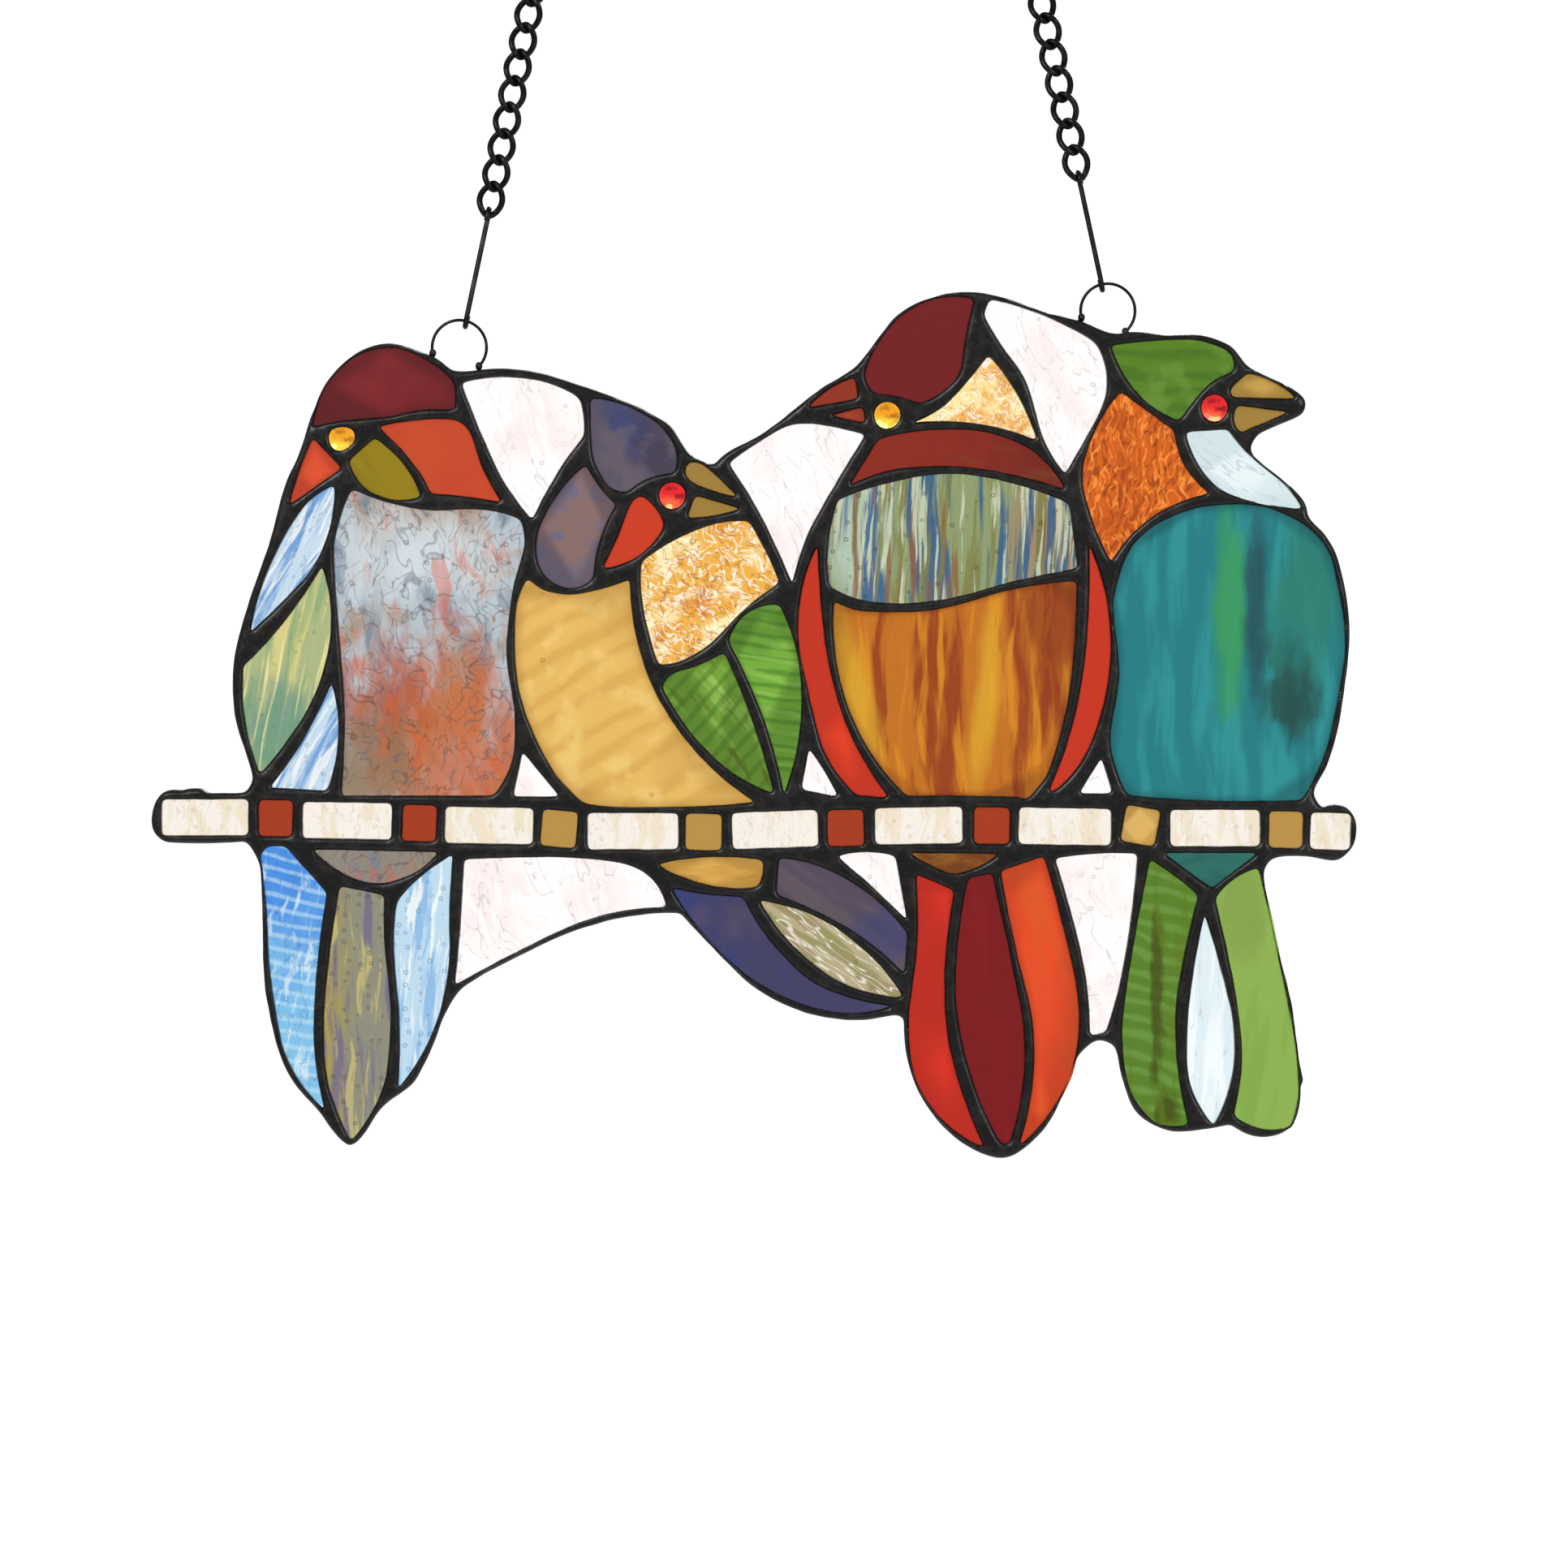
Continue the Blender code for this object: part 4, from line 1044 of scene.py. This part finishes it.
def lay_solder(name, rim, openings, material):
    """The solder: one seam network between the rim and the openings, rounded on both faces."""
    places, triangles = seam_triangles(rim, openings)
    to_pane, to_rim = distances(openings, places), distances([rim], places)
    front = seam_face(to_pane, to_rim, places, SEAM_TOP_FRONT, 11.0)
    back = seam_face(to_pane, to_rim, places, SEAM_TOP_BACK, 23.0)
    count = len(places)
    corners = [(x, -y, z) for (x, z), y in zip(places, front)]
    corners += [(x, y, z) for (x, z), y in zip(places, back)]
    faces = triangles.tolist() + (triangles[:, ::-1] + count).tolist()
    edges = {(face[i], face[(i + 1) % 3]) for face in triangles.tolist() for i in range(3)}
    faces += [(b, a, a + count, b + count) for a, b in sorted(edges) if (b, a) not in edges]
    mesh = bpy.data.meshes.new(name)
    mesh.from_pydata(corners, [], faces)
    panel = piece_of(name, mesh, material)
    smooth(panel, 60)
    return panel


def finished_metal(name, ground, worn, roughness, metallic):
    """Wire or solder with a dark patina that is cloudy and worn in places."""
    material, tree = blank_material(name)
    drawing = squares_of_drawing(tree)
    wide = {"Size": 16.0, "Seed": 4.0, "Low": 0.45, "High": 0.7}
    small = {"Size": 5.0, "Seed": 9.0, "Low": 0.5, "High": 0.75}
    cloud = use_effect(tree, "Clouds", {"Vector": drawing, **wide})
    fine = use_effect(tree, "Clouds", {"Vector": drawing, **small})
    colour = mixed(tree, cloud, colour_of(ground), colour_of(worn))
    rough = sum_up(tree, "MULTIPLY_ADD", fine, 0.18, roughness)
    bump = add(tree, "Bump", {"Height": fine, "Strength": 0.25, "Distance": 0.0001})
    surfaced(tree, {"Base Color": colour, "Roughness": rough, "Metallic": metallic, "Normal": bump})
    return material


def wire(name, points, diameter, material, closed=False):
    """A round wire along the points, with closed ends."""
    curve = bpy.data.curves.new(name, "CURVE")
    curve.dimensions = "3D"
    curve.bevel_depth = diameter / 2
    curve.bevel_resolution = 4
    curve.use_fill_caps = not closed
    spline = curve.splines.new("POLY")
    spline.points.add(len(points) - 1)
    for point, place in zip(spline.points, points):
        point.co = (*place, 1)
    spline.use_cyclic_u = closed
    piece = piece_of(name, curve, material)
    choose(piece)
    bpy.ops.object.convert(target="MESH")
    bpy.ops.object.mode_set(mode="EDIT")
    bpy.ops.mesh.select_all(action="SELECT")
    bpy.ops.mesh.remove_doubles(threshold=WELD)
    bpy.ops.mesh.normals_make_consistent(inside=False)
    bpy.ops.object.mode_set(mode="OBJECT")
    smooth(piece, 50)
    return piece


def joined(first, *others):
    """Makes several pieces one, under the first one's name."""
    bpy.ops.object.select_all(action="DESELECT")
    for piece in (first, *others):
        piece.select_set(True)
    bpy.context.view_layer.objects.active = first
    bpy.ops.object.join()
    return first


def drawn_place(square):
    """A place on the drawing as X and Z in metres, to reckon with."""
    return Vector(on_panel(*square))


def chain_direction(side):
    """The way up along a chain, in the panel's plane."""
    lowest, highest, _ = CHAINS[side]
    return (drawn_place(highest) - drawn_place(lowest)).normalized()


def link_half_length():
    """From a link's middle to the middle of its end wire."""
    return (LINK_PITCH + LINK_WIRE) / 2


def chain_end(side, top):
    """The middle of the end wire of a chain's lowest or highest link."""
    lowest, _, count = CHAINS[side]
    reach = (count - 1) * LINK_PITCH + link_half_length() if top else -link_half_length()
    return drawn_place(lowest) + chain_direction(side) * reach


def crown(side):
    """The top of a hook's crook: it is in line with its chain, and level with the other one."""
    end = chain_end(side, top=True)
    up = chain_direction(side)
    return end + up * (drawn_place((0, HOOK_CROWN_ROW)).y - end.y) / up.y


def on_ring(side, angle):
    """The place of the ring's wire at an angle."""
    return drawn_place(RINGS[side][0]) + Vector((math.cos(angle), math.sin(angle))) * RING_RADIUS


def foot_solder(name, place, material):
    """The small mound of solder that holds a ring's foot."""
    bpy.ops.mesh.primitive_uv_sphere_add(
        segments=16, ring_count=10, radius=1, location=(place.x, 0, place.y), scale=FOOT_SOLDER
    )
    mound = bpy.context.object
    mound.name = mound.data.name = name
    place_applied(mound)
    mound.data.materials.append(material)
    smooth(mound, 60)
    return mound


def bend_rings(material, solder):
    """The wire rings, whose feet run down into the solder at the panel's top edge."""
    for side, (_, first_foot, last_foot, _) in RINGS.items():
        turn = last_foot - first_foot
        angles = [math.radians(first_foot + turn * step / RING_STEPS) for step in range(RING_STEPS + 1)]
        points = []
        for angle in angles:
            place = on_ring(side, angle)
            points.append((place.x, 0.0, place.y))
        ring = wire(side + "_wire_ring", points, RING_WIRE, material)
        ends = [on_ring(side, angle) for angle in (angles[0], angles[-1])]
        feet = [foot_solder(side + "_foot", place, solder) for place in ends]
        kept(joined(ring, *feet), "dark_wire", side + "_ring")


def s_hook(name, low, high, low_bend, high_bend, diameter, material):
    """A wire bent into an S that stands square to the panel, from its lowest point to its highest."""
    up = (high - low).normalized()
    across = (high - low).length - low_bend - high_bend
    slant = math.asin((low_bend + high_bend) / across)
    points = []
    for middle, radius, start, end in (
        (low + up * low_bend, low_bend, math.radians(15), -math.pi - slant),
        (high - up * high_bend, high_bend, -slant, math.radians(200)),
    ):
        for step in range(BEND_STEPS + 1):
            angle = start + (end - start) * step / BEND_STEPS
            place = middle + up * radius * math.sin(angle)
            points.append((place.x, radius * math.cos(angle), place.y))
    return wire(name, points, diameter, material)


def bend_hooks(material):
    """The long hook between each ring and its chain, and the hook that the chain hangs by."""
    for side in CHAINS:
        ring_wire = on_ring(side, math.radians(RINGS[side][3]))
        link_wire = chain_end(side, top=False)
        up = (link_wire - ring_wire).normalized()
        low = ring_wire - up * ((LONG_HOOK_WIRE + RING_WIRE) / 2 + WIRE_GAP)
        high = link_wire + up * ((LONG_HOOK_WIRE + LINK_WIRE) / 2 + WIRE_GAP)
        long_hook = s_hook(
            side + "_wire_hook", low, high, LONG_HOOK_BEND, LONG_HOOK_BEND, LONG_HOOK_WIRE, material
        )
        kept(long_hook, "dark_wire", side + "_long_hook")
        low = chain_end(side, top=True) - chain_direction(side) * ((TOP_HOOK_WIRE + LINK_WIRE) / 2 + WIRE_GAP)
        top_hook = s_hook(
            side + "_hanging_hook", low, crown(side),
            TOP_HOOK_LOW_BEND, TOP_HOOK_CROOK, TOP_HOOK_WIRE, material,
        )
        kept(top_hook, "dark_wire", side + "_top_hook")


def link_points(middle, up):
    """The middle line of one link: an oval that is twisted from end to end."""
    sideways = Vector((up.y, -up.x))
    half_width = (LINK_WIDTH - LINK_WIRE) / 2
    points = []
    for step in range(LINK_STEPS):
        angle = 2 * math.pi * step / LINK_STEPS
        along, across = math.sin(angle), math.cos(angle)
        turn = LINK_TWIST / 2 * along
        place = middle + up * along * link_half_length() + sideways * across * half_width * math.cos(turn)
        points.append((place.x, -across * half_width * math.sin(turn), place.y))
    return points


def bend_chains(material):
    """The curb chains. Each link is one bent and twisted ring of wire, and the links hold each other."""
    for side, (lowest, _, count) in CHAINS.items():
        up = chain_direction(side)
        links = []
        for number in range(count):
            points = link_points(drawn_place(lowest) + up * LINK_PITCH * number, up)
            links.append(wire(f"{side}_link_{number + 1}", points, LINK_WIRE, material, closed=True))
        chain = joined(*links)
        chain.name = chain.data.name = side + "_curb_chain"
        kept(chain, "dark_wire", side + "_chain")


def gem_opening(eye):
    """The edge of the solder round an eye gem."""
    if eye == "bird_one":
        return redrawn(np.array([on_panel(*square) for square in CHIPPED_EDGE[::-1]]), 3.3)
    x, z = on_panel(*EYES[eye][0])
    angles = -np.arange(GEM_EDGE_POINTS) * 2 * math.pi / GEM_EDGE_POINTS
    height = GEM_RADIUS * GEM_EDGE_STRETCH
    circle = np.stack([x + GEM_RADIUS * np.cos(angles), z + height * np.sin(angles)], 1)
    return redrawn(circle, x * 100)


def gem_colours(eye):
    """The colours of an eye gem: lighter below as painted light, where the light comes through, with fine
    cracks above and a painted highlight round its rim.
    """
    (across, down), kind = EYES[eye]
    top, bottom, crack, rim = GEM_COLOURS[kind]
    return glass("eye_" + eye + "_colours", top, [
        fade(bottom, (across, down - 2), (across - 2, down + 11), 1, ragged=0.12),
        patch(crack, across + 10, down + 1, 8, 3, ragged=0.8, grain=3, strength=0.8),
        patch(crack, across - 3, down - 9, 7, 3, ragged=0.9, grain=3, strength=0.7),
        rim_painted_shade_and_highlight(rim, 3, 0.6),
    ], 0.05)


def cut_gem(eye):
    """A low cut stone with a table and a ring of facets on each face."""
    x, z = on_panel(*EYES[eye][0])
    bpy.ops.mesh.primitive_cylinder_add(
        vertices=GEM_SIDES, radius=GEM_RADIUS + GEM_UNDER_SEAM, depth=2 * GEM_GIRDLE,
        location=(x, 0, z), rotation=(math.pi / 2, 0, 0),
    )
    gem = bpy.context.object
    gem.name = gem.data.name = "eye_gem_" + eye
    place_applied(gem)
    model = bmesh.new()
    model.from_mesh(gem.data)
    for toward in (-1, 1):
        face = next(f for f in model.faces if f.normal.y * toward > 0.9)
        bmesh.ops.inset_individual(model, faces=[face], thickness=GEM_RADIUS - GEM_TABLE, depth=0)
        for corner in face.verts:
            corner.co.y = toward * GEM_FACE
    model.to_mesh(gem.data)
    model.free()
    attribute = gem.data.attributes.new("rim", "FLOAT", "POINT")
    reach = [GEM_RADIUS - math.hypot(corner.co.x - x, corner.co.z - z) for corner in gem.data.vertices]
    attribute.data.foreach_set("value", [max(0.0, value / SQUARE) for value in reach])
    gem.data.materials.append(gem_colours(eye))
    slot = "amber_glass" if EYES[eye][1] == "amber" else "blood_red_glass"
    kept(gem, slot)


def middle_of(opening):
    """The middle of the box round an opening."""
    return (opening.min(0) + opening.max(0)) / 2


def near_eye(opening):
    """Whether an opening is one of those that the eye gems sit in."""
    return any(np.hypot(*(middle_of(opening) - on_panel(*place))) < EYE_REACH for place, _ in EYES.values())


def cut_panes(openings):
    """Cuts every pane, tile and beak slip to the opening that it shows in."""
    middles = {name: sum(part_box(name), Vector()) / 2 for name in NODES if name.startswith(("bird", "clear"))}
    clear = glass("clear_seedy_colours", "FCF8F7", CLEAR_LAYERS, 0.04)
    tile_colours = {kind: glass(kind + "_tile_colours", *recipe[:3]) for kind, recipe in TILE_GLASS.items()}
    tiles, beaks = list(TILE_ORDER), list(BEAK_ORDER)
    for opening in openings:
        x, z = middle_of(opening)
        off = {name: math.hypot(middle.x - x, middle.z - z) for name, middle in middles.items()}
        name = min(off, key=off.get)
        if off[name] < PANE_REACH:
            slot = NODES[name].data.materials[0].name
            material = clear if name.startswith("clear") else glass(name + "_colours", *PANE_GLASS[name])
            kept(cut_glass("pane_" + name, opening, material), slot, name)
            continue
        if abs(z - on_panel(0, PERCH_ROW)[1]) < TILE_REACH:
            kind = tiles.pop(0)
            piece_name = f"perch_tile_{len(TILE_ORDER) - len(tiles)}"
        else:
            kind = beaks.pop(0)
            piece_name = f"beak_slip_{len(BEAK_ORDER) - len(beaks)}"
        kept(cut_glass(piece_name, opening, tile_colours[kind]), TILE_GLASS[kind][3])


def build_panel(solder):
    """Lays the solder round the openings of the panel, sets the gems and cuts the glass."""
    outlines = face_outlines(NODES["solder_panel"], -CAD_SOLDER_FACE)
    rim = max(outlines, key=area)
    openings = [outline for outline in outlines if outline is not rim and not near_eye(outline)]
    openings.sort(key=lambda opening: tuple(middle_of(opening)))
    openings = [redrawn(opening, 2.0 + number) for number, opening in enumerate(openings)]
    eyes = [gem_opening(eye) for eye in EYES]
    panel = lay_solder("soldered_seams", redrawn(rim, 1.0), openings + eyes, solder)
    kept(panel, "black_patina_solder", "solder_panel")
    for eye in EYES:
        cut_gem(eye)
    cut_panes(openings)


def build_floor():
    """A pale floor under the panel."""
    bpy.ops.mesh.primitive_plane_add(size=FLOOR_SIZE, location=FLOOR_PLACE)
    floor = bpy.context.object
    floor.name = "floor"
    paint = bpy.data.materials.new("pale_floor")
    paint.use_nodes = True
    sockets = paint.node_tree.nodes["Principled BSDF"].inputs
    sockets["Base Color"].default_value = (0.8, 0.8, 0.8, 1)
    sockets["Roughness"].default_value = 0.9
    floor.data.materials.append(paint)


def build_world():
    """A white surround that is bright to look at, also through the glass, and soft as a light."""
    world = bpy.data.worlds.new("soft_studio")
    bpy.context.scene.world = world
    world.use_nodes = True
    tree = world.node_tree
    tree.nodes.clear()
    path = add(tree, "LightPath").node
    seen = sum_up(tree, "MAXIMUM", path.outputs["Is Camera Ray"], path.outputs["Is Transmission Ray"])
    strength = sum_up(tree, "MULTIPLY_ADD", seen, 0.85, 0.25)
    light = add(tree, "Background", {"Color": (1, 1, 1, 1), "Strength": strength})
    output = tree.nodes.new("ShaderNodeOutputWorld")
    tree.links.new(light, output.inputs["Surface"])


def hang_lights():
    """The softboxes, which all face the panel's middle."""
    for name, (place, size, power) in LIGHTS.items():
        data = bpy.data.lights.new(name, "AREA")
        data.size = size
        data.energy = power
        lamp = bpy.data.objects.new(name, data)
        lamp.location = place
        aim = Vector(PANEL_MIDDLE) - lamp.location
        lamp.rotation_euler = aim.to_track_quat("-Z", "Y").to_euler()
        bpy.context.scene.collection.objects.link(lamp)


def set_camera():
    """A camera square on to the panel that sees just the drawing's own square."""
    scene = bpy.context.scene
    x, z = on_panel(DRAWING_SIZE / 2, DRAWING_SIZE / 2)
    data = bpy.data.cameras.new("camera")
    data.sensor_width = SENSOR_WIDTH
    data.lens = SENSOR_WIDTH * CAMERA_DISTANCE / (DRAWING_SIZE * SQUARE)
    camera = bpy.data.objects.new("camera", data)
    camera.location = (x, -CAMERA_DISTANCE, z)
    camera.rotation_euler = (math.pi / 2, 0, 0)
    scene.collection.objects.link(camera)
    scene.camera = camera
    scene.view_settings.view_transform = "Standard"


make_effects()
patina = finished_metal("black_patina_colours", "100E0D", "2A2624", 0.32, 0.0)
dark_wire = finished_metal("dark_wire_colours", "1A1715", "35302D", 0.3, 0.6)
build_panel(patina)
bend_rings(dark_wire, patina)
bend_hooks(dark_wire)
bend_chains(dark_wire)
build_floor()
build_world()
hang_lights()
set_camera()
